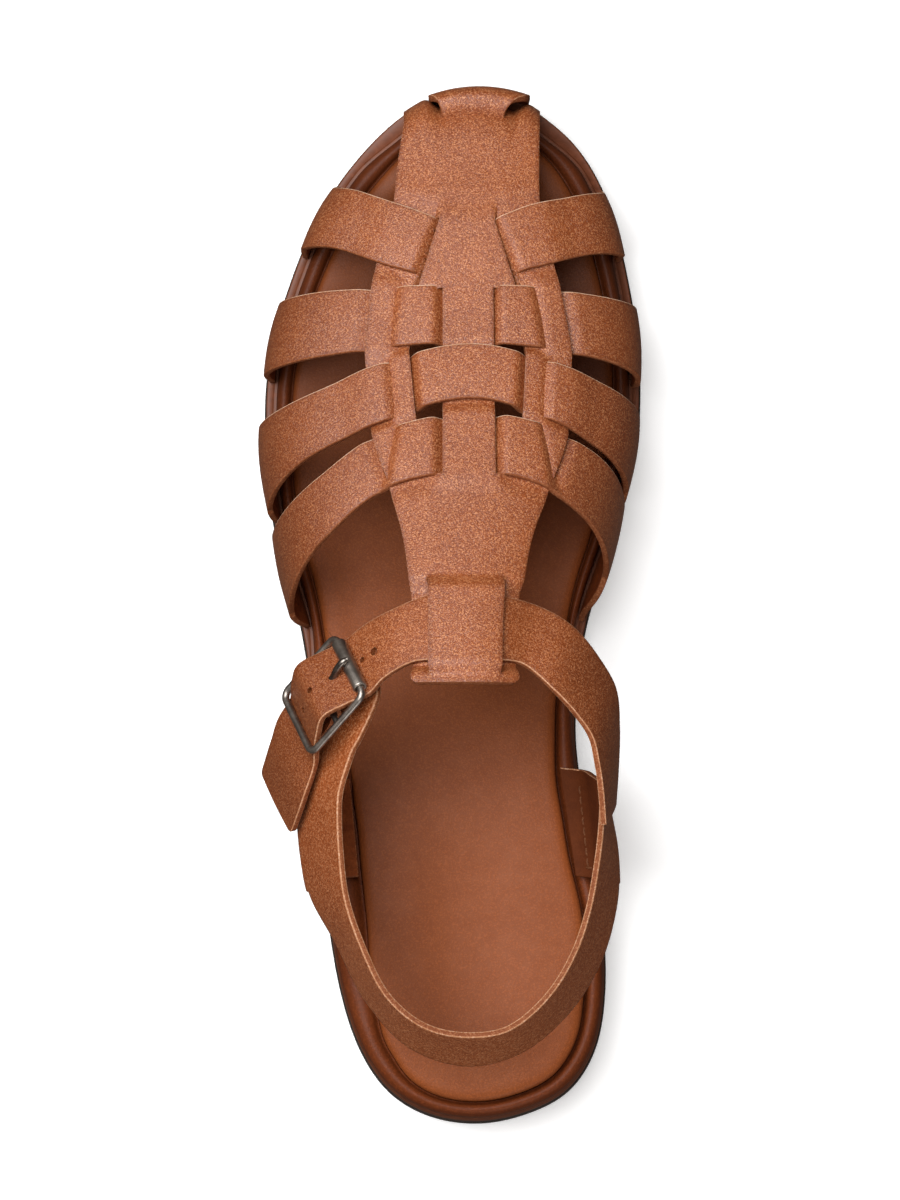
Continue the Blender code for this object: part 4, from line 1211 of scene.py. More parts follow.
def sock_leather(name, dark, light, roughness, fibre_scale):
    """Smooth leather of the insole and of the roll round it, with painted shade towards the toe under the
    straps.
    """
    material, tree, shader = new_material(name, Specular_IOR_Level=0.15)
    grain = use_group(tree, LEATHER_GRAIN, Fibre_Scale=fibre_scale, Mottle_Scale=260.0)
    forefoot_shade = use_group(tree, PAINTED_FOREFOOT_SHADE)
    fibre = tuple(SOCK_FIBRE_LIGHTER * value for value in light)
    overlay = tuple(SOCK_SHADE_DARKER * value for value in dark)
    body = mix_colour(tree, grain["Mottle"], dark, light)
    body = tinted(tree, body, grain["Fibre"], SOCK_FIBRE_TINT, fibre)
    # Painted shade: the bed darker towards the toe, under the straps
    body = tinted(tree, body, forefoot_shade["Wear"], SOCK_SHADE_TINT, overlay)
    rough = ranged(tree, grain["Mottle"], 0.0, 1.0, roughness + 0.06, roughness - 0.05)
    feed(tree, shader["Base Color"], body)
    feed(tree, shader["Roughness"], rough)
    set_bump(tree, shader, grain["Height"], distance=0.1, strength=0.7)
    return material


def sole_finish(name, dark, light, roughness):
    """Scuffed edge of the midsole or the rubber of the outsole."""
    material, tree, shader = new_material(name, Specular_IOR_Level=0.4)
    scuff = use_group(tree, SOLE_SCUFF, Scuff_Scale=420.0)
    feed(tree, shader["Base Color"], mix_colour(tree, scuff["Scuff"], dark, light))
    feed(tree, shader["Roughness"], ranged(tree, scuff["Scuff"], 0.0, 1.0, roughness, roughness + 0.12))
    set_bump(tree, shader, scuff["Height"], distance=0.08, strength=0.4)
    return material


def dark_metal(name, dark, light, roughness):
    """Dark plated steel, rubbed paler in places."""
    material, tree, shader = new_material(name, Metallic=1.0)
    overlay = use_group(tree, WORN_METAL, Scratch_Scale=1400.0)
    rough = ranged(tree, overlay["Scratch"], *SCRATCH_BAND, roughness - 0.06, roughness + 0.1)
    feed(tree, shader["Base Color"], mix_colour(tree, overlay["Rub"], dark, light))
    feed(tree, shader["Roughness"], rough)
    set_bump(tree, shader, overlay["Scratch"], distance=0.015, strength=0.35)
    return material


CUT_EDGE = cut_edge("cut_edge", (0.150, 0.038, 0.011), (0.255, 0.076, 0.026), (0.42, 0.17, 0.075))
# Near-black walls of the punched holes: painted shade inside the holes
PAINTED_SHADE_HOLE_EDGE = cut_edge("punched_edge_painted_shade", (0.030, 0.009, 0.004), (0.060, 0.018, 0.007), (0.10, 0.035, 0.014))
SEAM_THREAD = cut_edge("seam_thread", (0.085, 0.025, 0.008), (0.140, 0.046, 0.016), (0.22, 0.09, 0.038))
# Pale corner colours: painted highlight on the rounded corners of the cut edges
HEEL_HIGHLIGHT_CORNER = cut_edge("heel_highlight_corner", (0.300, 0.110, 0.042), (0.520, 0.260, 0.140), (0.70, 0.44, 0.30))
PAINTED_HIGHLIGHT_CORNER = cut_edge("painted_highlight_corner", (0.500, 0.235, 0.115), (0.800, 0.530, 0.370), (0.90, 0.70, 0.56))
UPPER_FINISH = (
    grain_side("upper_grain", UPPER_TAN, gloss=0.62),
    flesh_side("upper_flesh", UPPER_TAN),
    CUT_EDGE,
    PAINTED_HIGHLIGHT_CORNER,
)
TOE_FINISH = (*UPPER_FINISH[:CORNER_FACE], HEEL_HIGHLIGHT_CORNER)
ANKLE_FINISH = (
    grain_side("ankle_grain", ANKLE_TAN, gloss=0.38),
    flesh_side("ankle_flesh", ANKLE_TAN),
    CUT_EDGE,
    HEEL_HIGHLIGHT_CORNER,
)
HEEL_FINISH = (
    grain_side("heel_grain", HEEL_TAN, gloss=0.2, fibre_scale=COARSE_FIBRE),
    flesh_side("heel_flesh", HEEL_TAN, overlay=EAR_PAINTED_SHADE),
    CUT_EDGE,
    HEEL_HIGHLIGHT_CORNER,
)
INSOLE_LEATHER = sock_leather("insole_smooth", (0.188, 0.046, 0.0115), (0.222, 0.058, 0.0145), 0.48, 2300.0)
ROLL_LEATHER = sock_leather("roll_smooth", (0.105, 0.023, 0.006), (0.135, 0.031, 0.008), 0.48, 1400.0)
MIDSOLE_EDGE = sole_finish("midsole_edge", (0.110, 0.030, 0.011), (0.180, 0.052, 0.020), 0.46)
RUBBER = sole_finish("outsole_rubber", (0.020, 0.013, 0.010), (0.045, 0.031, 0.024), 0.62)
FRAME_METAL = dark_metal("buckle_plate", (0.240, 0.212, 0.190), (0.460, 0.415, 0.370), 0.38)
ROLLER_METAL = dark_metal("roller_plate", (0.270, 0.242, 0.216), (0.500, 0.452, 0.404), 0.38)
PIN_METAL = dark_metal("pin_plate", (0.150, 0.130, 0.115), (0.320, 0.285, 0.250), 0.30)


def settle(item, node):
    """The piece stands for a node of the frame and moves with it."""
    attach(item, "root")
    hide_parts(node)
    return item


# The sole
def outsole():
    """Rubber sole with straight grooves under forefoot and heel."""
    low = bottom(LOOP_Y)
    rings = edge_rings(OUTSOLE_LOWER_EDGE, 0.0, low)
    rings += edge_rings(OUTSOLE_UPPER_EDGE, 0.0, low + OUTSOLE_THICKNESS)
    item = sole_solid("outsole_tread", rings, [RUBBER])
    places = [FOREFOOT_FIRST_GROOVE - GROOVE_PITCH * step for step in range(FOREFOOT_GROOVES)]
    places += [HEEL_FIRST_GROOVE - GROOVE_PITCH * step for step in range(HEEL_GROOVES)]
    size = Matrix.Diagonal((HALF_LENGTH * MM, GROOVE_WIDTH * MM, 2 * GROOVE_DEPTH * MM, 1.0))
    shape = bmesh.new()
    for y in places:
        lean = math.atan((bottom(y + 1.0) - bottom(y - 1.0)) / 2)
        place = Matrix.Translation(Vector((0.0, y, float(bottom(y)))) * MM)
        bmesh.ops.create_cube(shape, size=1.0, matrix=place @ Matrix.Rotation(lean, 4, "X") @ size)
    cut_away(item, shape, "grooves")
    round_edges(item, LUG_ROUND, LUG_ANGLE)
    return settle(item, "outsole")


def midsole():
    """Wedge with a seam line under its welt, and a step up from the welt to the footbed."""
    low = bottom(LOOP_Y) + OUTSOLE_THICKNESS
    high = ledge(LOOP_Y)
    welt = high - WELT_STEP
    roll = loop_inset(ROLL_INSET)
    step_in = np.maximum(OUTSOLE_LIP + WELT_LEAST_WIDTH, roll - STEP_FROM_ROLL)
    welt_face = np.minimum(OUTSOLE_LIP + WELT_FACE_INSET, step_in - WELT_FACE_LEAST)
    rings = edge_rings(MIDSOLE_LOWER_EDGE, OUTSOLE_LIP, low)
    rings += edge_rings(WELT_SEAM, OUTSOLE_LIP, welt - WELT_THICKNESS)
    rings += edge_rings(WELT_EDGE, OUTSOLE_LIP, welt)
    rings.append(sole_ring(welt_face, welt))
    rings += edge_rings(STEP_FOOT, step_in, welt)
    rings += edge_rings(STEP_EDGE, step_in, high)
    rings += edge_rings(MIDSOLE_TOP, roll, high)
    return settle(sole_solid("midsole_stack", rings, [MIDSOLE_EDGE]), "midsole")


def footbed():
    """Padded roll round the insole, with the groove that the insole sits in."""
    roll = loop_inset(ROLL_INSET)
    inner = loop_inset(PAD_INSET) - PAD_GAP
    base = ledge(LOOP_Y)
    rings = edge_rings(ROLL_BASE, roll, base)
    for step in range(ROLL_STEPS + 1):
        angle = math.pi * step / ROLL_STEPS
        share = (1.0 - math.cos(angle)) / 2
        share = share * (1.0 - ROLL_EVEN_SHARE) + ROLL_EVEN_SHARE * step / ROLL_STEPS
        lift = math.sin(min(angle, math.radians(ROLL_INNER_ANGLE))) ** ROLL_FULLNESS
        height = ROLL_FOOT + (ROLL_HEIGHT - ROLL_FOOT) * lift
        rings.append(sole_ring(roll + (inner - roll) * share, base + height))
    rings += edge_rings(ROLL_SEAT, inner, base + ROLL_HEIGHT - SEAT_DEPTH)
    return settle(sole_solid("footbed_roll", rings, [ROLL_LEATHER]), "footbed")


def foot_hollow(x, y):
    """Depth of the hollows that a foot leaves in the insole."""
    depth = 0.0
    for hollow in HOLLOWS:
        away = ((x - hollow.x) / hollow.half_width) ** 2 + ((y - hollow.y) / hollow.half_length) ** 2
        depth = depth + np.exp(-away) * hollow.depth
    return depth


def insole():
    """Padded sock: its rounded edge, then rings that draw in towards its middle line."""
    pad = loop_inset(PAD_INSET)
    top = pad_top(LOOP_Y)
    seat = ledge(LOOP_Y) + ROLL_HEIGHT - SEAT_DEPTH
    rings = [sole_ring(pad + PAD_FOOT_INSET, seat)]
    for row in PAD_EDGE:
        rings.append(sole_ring(pad + row.inset, np.maximum(top + row.height, seat + PAD_LEAST_HEIGHT)))
    edge_x, edge_y = inset_loop(pad + PAD_EDGE[-1].inset)
    middle = (outline_x(-1, edge_y) + outline_x(1, edge_y)) / 2
    for share in np.linspace(*PAD_RING_SPAN, PAD_RINGS):
        x = edge_x + (middle - edge_x) * share
        y = edge_y * (1.0 - PAD_DRAW_IN * share)
        from_edge = nearest_distance(np.stack([x, y], axis=1), np.stack([edge_x, edge_y], axis=1))
        hollow = foot_hollow(x, y) * rise(0.0, HOLLOW_MARGIN, from_edge)
        rings.append(np.stack([x, y, pad_top(y) + PAD_EDGE[-1].height - hollow], axis=1))
    item = settle(sole_solid("insole_pad", rings, [INSOLE_LEATHER]), "insole")
    return item


# The woven upper
def strap_level(row, x, y, share):
    """1 where the strap lies over the spine, -1 where it runs under, 0 beside it."""
    first, changes = WEAVE[row]
    low, high = spine_edges(y)
    start, end = SLOPE_OVER if first > 0 else SLOPE_UNDER
    level = first * (rise(low - start, low + end, x) - rise(high - end, high + start, x))
    sign = first
    for change in changes:
        place = change.front_x + (change.rear_x - change.front_x) * share
        level = level - 2 * sign * rise(place - change.half_width, place + change.half_width, x)
        sign = -sign
    return level


def crown_height(share):
    """Height of a strap's crown, by the share of its width."""
    return STRAP_CROWN * (1.0 - (2 * share - 1.0) ** 2)


def cross_strap(row):
    """Strap over the last from welt to welt, woven through the spine."""
    lateral_wall = np.linspace(-2.0, -1.0, STRAP_WALL_POINTS)
    top = np.linspace(-1.0, 1.0, STRAP_TOP_POINTS)
    medial_wall = np.linspace(1.0, 2.0, STRAP_WALL_POINTS)
    places = np.concatenate([lateral_wall[:-1], top, medial_wall[1:]])
    place, across = np.meshgrid(places, np.linspace(0.0, 1.0, STRAP_COLUMNS), indexing="ij")
    front = strap_edge("front%d" % row, place)
    rear = strap_edge("rear%d" % row, place)
    y = front + (rear - front) * across
    points = last_point(y, place)
    normal = last_normal(y, place)
    level = np.where(np.abs(place) < 1.0, strap_level(row, points[..., 0], y, across), 0.0)
    lift = level * STRAP_WEAVE + crown_height(across) - STRAP_CROWN / 2
    points = points + normal * lift[..., None]
    centre = (SHOE_MIDDLE_X, float(y.mean()), STRAP_INSIDE_Z)
    item = leather_band("cross_strap_%d" % row, points, UPPER_FINISH, STRAP_LEATHER, centre)
    return settle(shade_rear_edges(item), "upper")


def between(corners, y):
    """x of a line through corners that runs along y."""
    ordered = sorted(corners, key=lambda corner: corner.y)
    return np.interp(y, [corner.y for corner in ordered], [corner.x for corner in ordered])


def spine_level(x, y):
    """Height of the spine's strips where they weave with the cross straps."""
    place = place_at(x, y)
    middle = last_curve("ridge_x", y)
    lateral_side = x < middle
    line = np.where(lateral_side, between(LATERAL_LINE, y), between(MEDIAL_LINE, y))
    flank = np.where(lateral_side, between(LATERAL_WINDOW[:2], y), between(MEDIAL_WINDOW[:2], y))
    away = np.where(lateral_side, -1.0, 1.0)
    outer = rise(-LINE_HALF_WIDTH, LINE_HALF_WIDTH, (x - line) * away)
    side = np.where((x - flank) * away > 0, 1.0, 0.0)
    side = np.where(y < LATERAL_WINDOW[1].y, rise(*CENTRE_STRIP_SLOPE, np.abs(x - middle)), side)
    rows = [1.0 - 2.0 * side]
    for strip in SPINE_LEVELS:
        side_level = strip.inner + (strip.outer - strip.inner) * outer
        rows.append(strip.centre + (side_level - strip.centre) * side)
    first_front = strap_edge("front1", place)
    level = rows[0] * rise(-first_front - WEAVE_LEAD, -first_front, -y)
    for row in (1, 2, 3):
        rear = strap_edge("rear%d" % row, place)
        front = strap_edge("front%d" % (row + 1), place)
        half = np.maximum((rear - front) / 2, WEAVE_LEAST_HALF)
        gap = (rear + front) / 2
        level = level + (rows[row] - rows[row - 1]) * rise(-gap - half, -gap + half, -y)
    last_rear = strap_edge("rear4", place)
    return (level - rows[3] * rise(-last_rear, -last_rear + WEAVE_LEAD, -y)) * SPINE_WEAVE


def tongue_level(x, y):
    """The tongue's middle rises over the ankle strap and its sides pass under it."""
    left, right = spine_edges(y)
    part = (x - left) / (right - left)
    inside_slots = rise(*TONGUE_REAR_SLOPE, y) * (1.0 - rise(*TONGUE_FRONT_SLOPE, y))
    middle = (part > SLOT_PLACES[0]) & (part < SLOT_PLACES[1])
    return np.where(middle, inside_slots, -inside_slots) * TONGUE_LIFT


def toe_edge_y(x):
    """y of the welt line at the toe for an array of x."""
    edge_x, edge_y = inset_loop(TOE_CAP_INSET)
    front = edge_y > TOE_CAP_FROM
    order = np.argsort(edge_x[front])
    hollow = TOE_HOLLOW * (1.0 - rise(*TOE_HOLLOW_EDGE, np.abs(x - TOE_HOLLOW_X)))
    return np.interp(x, edge_x[front][order], edge_y[front][order]) - hollow


def spine_surface(x, w):
    """Point of the spine: w is y on the last, and past the cap's start it runs down over the toe."""
    y = np.minimum(w, SPINE_CAP_START)
    place = place_at(x, y)
    points = last_point(y, place)
    level = spine_level(x, y) + tongue_level(x, y)
    points = points + last_normal(y, place) * level[..., None]
    t = np.clip((w - SPINE_CAP_START) / SPINE_CAP_SPAN, 0.0, 1.0)[..., None]
    before = last_point(y - CAP_LEAN_STEP, place_at(x, y - CAP_LEAN_STEP))
    end_y = toe_edge_y(x)
    end = np.stack([x, end_y, ledge(end_y) - CLEARANCE], axis=-1)
    reach = (end_y - SPINE_CAP_START) * CAP_REACH
    lean = (points[..., 2] - before[..., 2]) / CAP_LEAN_STEP
    first = np.stack([x, SPINE_CAP_START + reach, points[..., 2] + lean * reach], axis=-1)
    second = np.stack([x, end_y, end[..., 2] + (points[..., 2] - end[..., 2]) * CAP_BELLY], axis=-1)
    cap = points * (1 - t) ** 3 + 3 * first * (1 - t) ** 2 * t + 3 * second * (1 - t) * t ** 2 + end * t ** 3
    return np.where(w[..., None] > SPINE_CAP_START, cap, points)


def walk(corners, spacing):
    """Points along the straight lines through corners, without the last corner."""
    points = []
    for start, end in zip(corners, corners[1:]):
        steps = max(1, int(round(math.hypot(end[0] - start[0], end[1] - start[1]) / spacing)))
        for step in range(steps):
            share = step / steps
            points.append((start[0] + (end[0] - start[0]) * share, start[1] + (end[1] - start[1]) * share))
    return points


def slit_hole(corners, spacing):
    """Narrow hole along a line of corners, pointed at both ends."""
    line = walk(corners, spacing) + [tuple(corners[-1])]
    half = SLIT_WIDTH / 2
    there = [(x - half, y) for x, y in line[1:-1]]
    back = [(x + half, y) for x, y in line[-2:0:-1]]
    return [line[0]] + there + [line[-1]] + back


def spine_outline(spacing):
    """Edge of the spine in its plan, with the rounded corners of its tab."""
    top = SPINE_CAP_START + SPINE_CAP_SPAN
    stations = np.arange(SPINE_END + SPINE_END_ROUND, top, spacing)
    left, right = spine_edges(np.minimum(stations, SPINE_CAP_START))
    taper = np.clip((stations - SPINE_CAP_START) / TOE_CAP_TAPER_LENGTH, 0.0, 1.0)
    left = left + TOE_CAP_TAPER * taper
    corner = []
    for step in range(1, SPINE_END_STEPS):
        angle = math.pi / 2 * step / SPINE_END_STEPS
        corner.append((1.0 - math.sin(angle), 1.0 - math.cos(angle)))
    low_right = [(right[0] - SPINE_END_ROUND * b, SPINE_END + SPINE_END_ROUND * a) for a, b in corner]
    low_left = [(left[0] + SPINE_END_ROUND * b, SPINE_END + SPINE_END_ROUND * a) for a, b in reversed(corner)]
    end = walk([(right[0] - SPINE_END_ROUND, SPINE_END), (left[0] + SPINE_END_ROUND, SPINE_END)], spacing)
    front = walk([(left[-1], top), (right[-1], top)], spacing)
    rising = list(zip(left, stations))
    falling = list(zip(right, stations))[::-1]
    return rising + front + falling + low_right + end + low_left


def inside(loop, points):
    """Whether each point lies inside a closed loop."""
    found = np.zeros(len(points), bool)
    for (ax, ay), (bx, by) in zip(loop, loop[1:] + loop[:1]):
        if ay == by:
            continue
        crosses = (ay > points[:, 1]) != (by > points[:, 1])
        found ^= crosses & (points[:, 0] < (bx - ax) * (points[:, 1] - ay) / (by - ay) + ax)
    return found


def inside_plan(outline, holes, points):
    """Whether each point lies inside an outline and outside its holes."""
    found = inside(outline, points)
    for hole in holes:
        found &= ~inside(hole, points)
    return found


def plan_triangles(outline, holes, spacing):
    """Triangles of a plan with holes, over a staggered grid of points."""
    loops = [outline] + holes
    edge_points = np.array([point for loop in loops for point in loop])
    edges = []
    first = 0
    for loop in loops:
        edges += [(first + step, first + (step + 1) % len(loop)) for step in range(len(loop))]
        first += len(loop)
    low = edge_points.min(0)
    high = edge_points.max(0)
    fill = []
    for number, y in enumerate(np.arange(low[1], high[1], spacing * PLAN_ROW_SHARE)):
        x = np.arange(low[0] + (number % 2) * spacing / 2, high[0], spacing)
        fill.append(np.stack([x, np.full_like(x, y)], axis=1))
    fill = np.concatenate(fill)
    fill = fill[inside_plan(outline, holes, fill)]
    fill = fill[nearest_distance(fill, edge_points) > spacing * PLAN_MARGIN_SHARE]
    points = [Vector(point) for point in np.concatenate([edge_points, fill])]
    result = geometry.delaunay_2d_cdt(points, edges, [], 0, 1e-5)
    plan = np.array([tuple(point) for point in result[0]])
    triangles = np.array([tuple(face) for face in result[2]])
    triangles = triangles[inside_plan(outline, holes, plan[triangles].mean(1))]
    a, b, c = plan[triangles[:, 0]], plan[triangles[:, 1]], plan[triangles[:, 2]]
    turn = (b[:, 0] - a[:, 0]) * (c[:, 1] - a[:, 1]) - (b[:, 1] - a[:, 1]) * (c[:, 0] - a[:, 0])
    triangles[turn < 0] = triangles[turn < 0][:, ::-1]
    used = np.unique(triangles)
    order = np.full(len(plan), -1)
    order[used] = np.arange(len(used))
    return plan[used], order[triangles], nearest_distance(plan[used], edge_points)


def spine():
    """Long piece from the toe to the tongue, cut into strips where the straps pass."""
    holes = []
    for window in (LATERAL_WINDOW, MEDIAL_WINDOW):
        holes.append(walk(list(window) + [window[0]], PLAN_SPACING))
    for part in SLOT_PLACES:
        corners = []
        for y in np.linspace(SLOT_FRONT, SLOT_REAR, SLOT_POINTS):
            left, right = spine_edges(y)
            corners.append(Corner(float(left + (right - left) * part), float(y)))
        holes.append(slit_hole(corners, PLAN_SPACING))
    plan, triangles, distance = plan_triangles(spine_outline(PLAN_SPACING), holes, PLAN_SPACING)
    points = spine_surface(plan[:, 0], plan[:, 1])
    item = leather_sheet("spine", points, triangles.tolist(), UPPER_FINISH, SPINE_LEATHER, distance)
    return settle(shade_rear_edges(item), "upper")


def toe_loop():
    """Strip that runs on from the spine and arches down over the toe."""
    path = np.array([tuple(row) for row in TOE_LOOP])
    walked = walked_along(path[:, :2])
    rows = smooth(walked, path, np.linspace(0.0, walked[-1], LOOP_ROWS))
    y, z, x, half_width = (rows[:, number:number + 1] for number in range(4))
    reach = half_width * np.linspace(-1.0, 1.0, LOOP_COLUMNS)[None]
    points = np.stack([x - reach, y - reach ** 2 / LOOP_BACK, z - reach ** 2 / LOOP_DOWN], axis=-1)
    item = leather_band("toe_loop", points, TOE_FINISH, LEATHER, TOE_INSIDE)
    return settle(shade_rear_edges(item), "upper")


# The ankle and heel straps
def at_buckle(along, across, out):
    """Point given in the axes of the buckle."""
    return BUCKLE_CENTRE + BUCKLE_ALONG * along + BUCKLE_ACROSS * across + BUCKLE_OUT * out


def band_edges(stations, spacing):
    """Upper and lower edge of a band along its length, at even steps."""
    table = np.array([tuple(station) for station in stations], float)
    walked = walked_along(table)
    rows = smooth(walked, table, np.linspace(0.0, walked[-1], int(walked[-1] / spacing)))
    return rows[:, :3], rows[:, 3:]


def round_end(upper, lower, radius):
    """Draw the first rows of a band together so that its corners are round."""
    walked = walked_along((upper + lower) / 2)
    width = np.linalg.norm(upper - lower, axis=1)
    left = np.clip(radius - walked, 0.0, radius)
    share = ((radius - np.sqrt(radius ** 2 - left ** 2)) / width)[:, None]
    return upper + (lower - upper) * share, lower + (upper - lower) * share


def across_band(upper, lower, columns):
    """Grid of points across a band, from its upper to its lower edge."""
    share = np.linspace(0.0, 1.0, columns)[None, :, None]
    return upper[:, None] * (1 - share) + lower[:, None] * share


def ankle_stations():
    """The strap's tail, its hump through the buckle, the tongue that it crosses and its medial end."""
    stations = list(ANKLE_TAIL)
    for row in STRAP_HUMP:
        upper = at_buckle(row.along, STRAP_HALF_WIDTH, row.out)
        lower = at_buckle(row.along, -STRAP_HALF_WIDTH, row.out)
        stations.append(Station(*upper, *lower))
    stations += ANKLE_LATERAL
    for crossing in ANKLE_TONGUE:
        upper = last_point(crossing.uy, place_at(np.float64(crossing.ux), crossing.uy))
        lower = last_point(crossing.ly, place_at(np.float64(crossing.lx), crossing.ly))
        stations.append(Station(*upper, *lower))
    return stations + ANKLE_MEDIAL


def strap_folds(points):
    """Height of the fine folds in the strap between the roller and the middle bar."""
    from_buckle = points - np.array(BUCKLE_CENTRE)
    along = from_buckle @ np.array(BUCKLE_ALONG)
    across = from_buckle @ np.array(BUCKLE_ACROSS)
    bend = np.exp(-((along - FOLD_MIDDLE) / FOLD_REACH) ** 2)
    bend = bend * np.clip(1.0 - (across / FOLD_HALF_WIDTH) ** 2, 0.0, 1.0)
    waved = along
    for width, turn in FOLD_WAVES:
        waved = waved + width * np.sin(across * turn)
    return FOLD_DEPTH * bend * np.sin(2 * math.pi / FOLD_PITCH * waved)


def ankle_strap():
    """Strap through the tongue and the buckle, with its folds and punched holes."""
    upper, lower = band_edges(ankle_stations(), BAND_SPACING)
    upper, lower = round_end(upper, lower, TAIL_ROUND)
    points = across_band(upper, lower, BAND_COLUMNS)
    normals = grid_normals(points)
    if faces_inwards(points, ANKLE_INSIDE):
        normals = -normals
    points = points + normals * crown_height(np.linspace(0.0, 1.0, BAND_COLUMNS))[None, :, None]
    points = points + np.array(BUCKLE_OUT) * strap_folds(points)[..., None]
    item = leather_band("ankle_strap_piece", points, ANKLE_FINISH, STRAP_LEATHER, ANKLE_INSIDE)
    baked(item)
    turn = BUCKLE_OUT.to_track_quat("Z", "Y").to_matrix().to_4x4()
    shape = bmesh.new()
    for hole in STRAP_HOLES:
        place = Matrix.Translation(at_buckle(hole.along, hole.across, 0.0) * MM)
        radius = hole.radius * MM
        bmesh.ops.create_cone(
            shape, cap_ends=True, segments=PUNCH_SIDES, radius1=radius, radius2=radius,
            depth=PUNCH_LENGTH * MM, matrix=place @ turn)
    cut_away(item, shape, "punch", [PAINTED_SHADE_HOLE_EDGE])
    return settle(item, "ankle_strap")


def heel_stations():
    """Stations of the heel strap, from its buckle end round the heel to the medial side."""
    front = []
    for row in BUCKLE_END:
        lower = at_buckle(row.along, row.across, BUCKLE_END_DEPTH)
        front.append(Station(row.ux, row.uy, row.uz, *lower))
    return front + HEEL_BAND


def heel_band_grid():
    """Grid of points of the heel band, and the row of the grid at each station of HEEL_BAND."""
    table = np.array([tuple(station) for station in heel_stations()], float)
    walked = walked_along(table)
    steps = [END_STEPS] * len(BUCKLE_END) + [HEEL_STEPS] * (len(HEEL_BAND) - 1)
    places = []
    for low, high, count in zip(walked, walked[1:], steps):
        places.append(np.linspace(low, high, count, endpoint=False))
    rows = smooth(walked, table, np.concatenate(places + [walked[-1:]]))
    starts = np.concatenate([[0], np.cumsum(steps)])
    return across_band(rows[:, :3], rows[:, 3:], HEEL_COLUMNS), starts[len(BUCKLE_END):]


def ear_sheet(band_part, table, medial):
    """Grid of points of an ear, from under the band's lower edge to the ear's end in the bed."""
    count = len(band_part)
    share = np.linspace(0.0, 1.0, count)[:, None]
    if medial:
        share = share[::-1]
    # Two lines of the band above make the ear run on smoothly from it
    controls = [band_part[:, -3], band_part[:, -1]]
    for row in table:
        front = np.array(row[:3])
        rear = np.array(row[3:])
        controls.append(front * (1 - share) + rear * share)
    controls = np.stack(controls)
    steps = np.linalg.norm(np.diff(controls, axis=0), axis=2).mean(1)
    walked = np.concatenate([[0.0], np.cumsum(steps)])
    down = np.linspace(walked[1], walked[-1], EAR_ROWS + 1)[1:]
    return smooth(walked, controls.reshape(len(controls), -1), down).reshape(EAR_ROWS, count, 3)


def ear_faces(above, offset):
    """Faces of an ear that hangs from points of the band; its own points start at the offset."""
    count = len(above)
    faces = []
    for row in range(EAR_ROWS):
        below = [offset + row * count + number for number in range(count)]
        for number in range(count - 1):
            faces.append([above[number], below[number], below[number + 1], above[number + 1]])
        above = below
    return faces


def ear_seams(sheet, medial):
    """Lines of stitches on an ear's inner face: along its rear edge, and on the medial one along its foot."""
    inward = grid_normals(sheet)
    if np.sum(inward[..., 0]) * (-1.0 if medial else 1.0) < 0:
        inward = -inward
    face = sheet + inward * (STRAP_LEATHER / 2 + SEAM_LIFT)
    rear = SEAM_COLUMN if medial else sheet.shape[1] - 1 - SEAM_COLUMN
    places = [(slice(SEAM_FREE_ROWS, -SEAM_FREE_ROWS), rear)]
    if medial:
        places.append((SEAM_ROW, slice(SEAM_COLUMN, -SEAM_COLUMN)))
    return [(face[place], inward[place]) for place in places]


def stitches(name, seams):
    """Short threads along lines of points, each with its ends sunk into the leather."""
    curve = round_curve(name, THREAD_RADIUS, THREAD_ROUNDNESS, True)
    for line, outward in seams:
        walked = walked_along(line)
        for start in np.arange(SEAM_START, walked[-1] - STITCH_LENGTH, STITCH_PITCH):
            spline = curve.splines.new("POLY")
            spline.points.add(len(STITCH_POINTS) - 1)
            for point, share in zip(spline.points, STITCH_POINTS):
                lifted = line + outward * (STITCH_ARCH * math.sin(math.pi * share) - STITCH_SINK)
                place = start + STITCH_LENGTH * share
                there = [np.interp(place, walked, lifted[:, axis]) * MM for axis in range(3)]
                point.co = (*there, 1.0)
    return curve_mesh(name, curve, SEAM_THREAD)


def border_points(faces):
    """Numbers of the points on the open border of a sheet."""
    used = {pair for face in faces for pair in zip(face, face[1:] + face[:1])}
    return sorted({point for a, b in used if (b, a) not in used for point in (a, b)})


def dull_ear_corners(item):
    """Corners of the ears are brown outside and dark inside; only the medial front corner keeps the painted
    highlight.
    """
    for polygon in item.data.polygons:
        if polygon.material_index == CORNER_FACE and polygon.center.z < EAR_TOP * MM:
            medial = polygon.center.x > 0
            if not (medial and polygon.normal.y > EAR_FRONT_FACING):
                polygon.material_index = FLESH_FACE if medial else CUT_FACE


def heel_strap():
    """Heel band with its two ears and the end that carries the buckle."""
    band, starts = heel_band_grid()
    points = [band.reshape(-1, 3)]
    faces = grid_faces(len(band), HEEL_COLUMNS)
    offset = len(band) * HEEL_COLUMNS
    seams = []
    ears = ((HEEL_LATERAL_EAR, LATERAL_EAR, False), (HEEL_MEDIAL_EAR, MEDIAL_EAR, True))
    for (first_station, last_station), table, medial in ears:
        rows = range(int(starts[first_station]), int(starts[last_station]) + 1)
        sheet = ear_sheet(band[rows.start:rows.stop], table, medial)
        points.append(sheet.reshape(-1, 3))
        faces += ear_faces([(row + 1) * HEEL_COLUMNS - 1 for row in rows], offset)
        seams += ear_seams(sheet, medial)
        offset += EAR_ROWS * len(rows)
    points = np.concatenate(points)
    if faces_inwards(band, HEEL_INSIDE):
        faces = [face[::-1] for face in faces]
    distance = nearest_distance(points, points[border_points(faces)])
    item = leather_sheet("heel_strap_piece", points, faces, HEEL_FINISH, STRAP_LEATHER, distance)
    item.modifiers["edge"].use_clamp_overlap = False
    dull_ear_corners(baked(item))
    settle(stitches("ear_seams", seams), "heel_strap")
    return settle(item, "heel_strap")


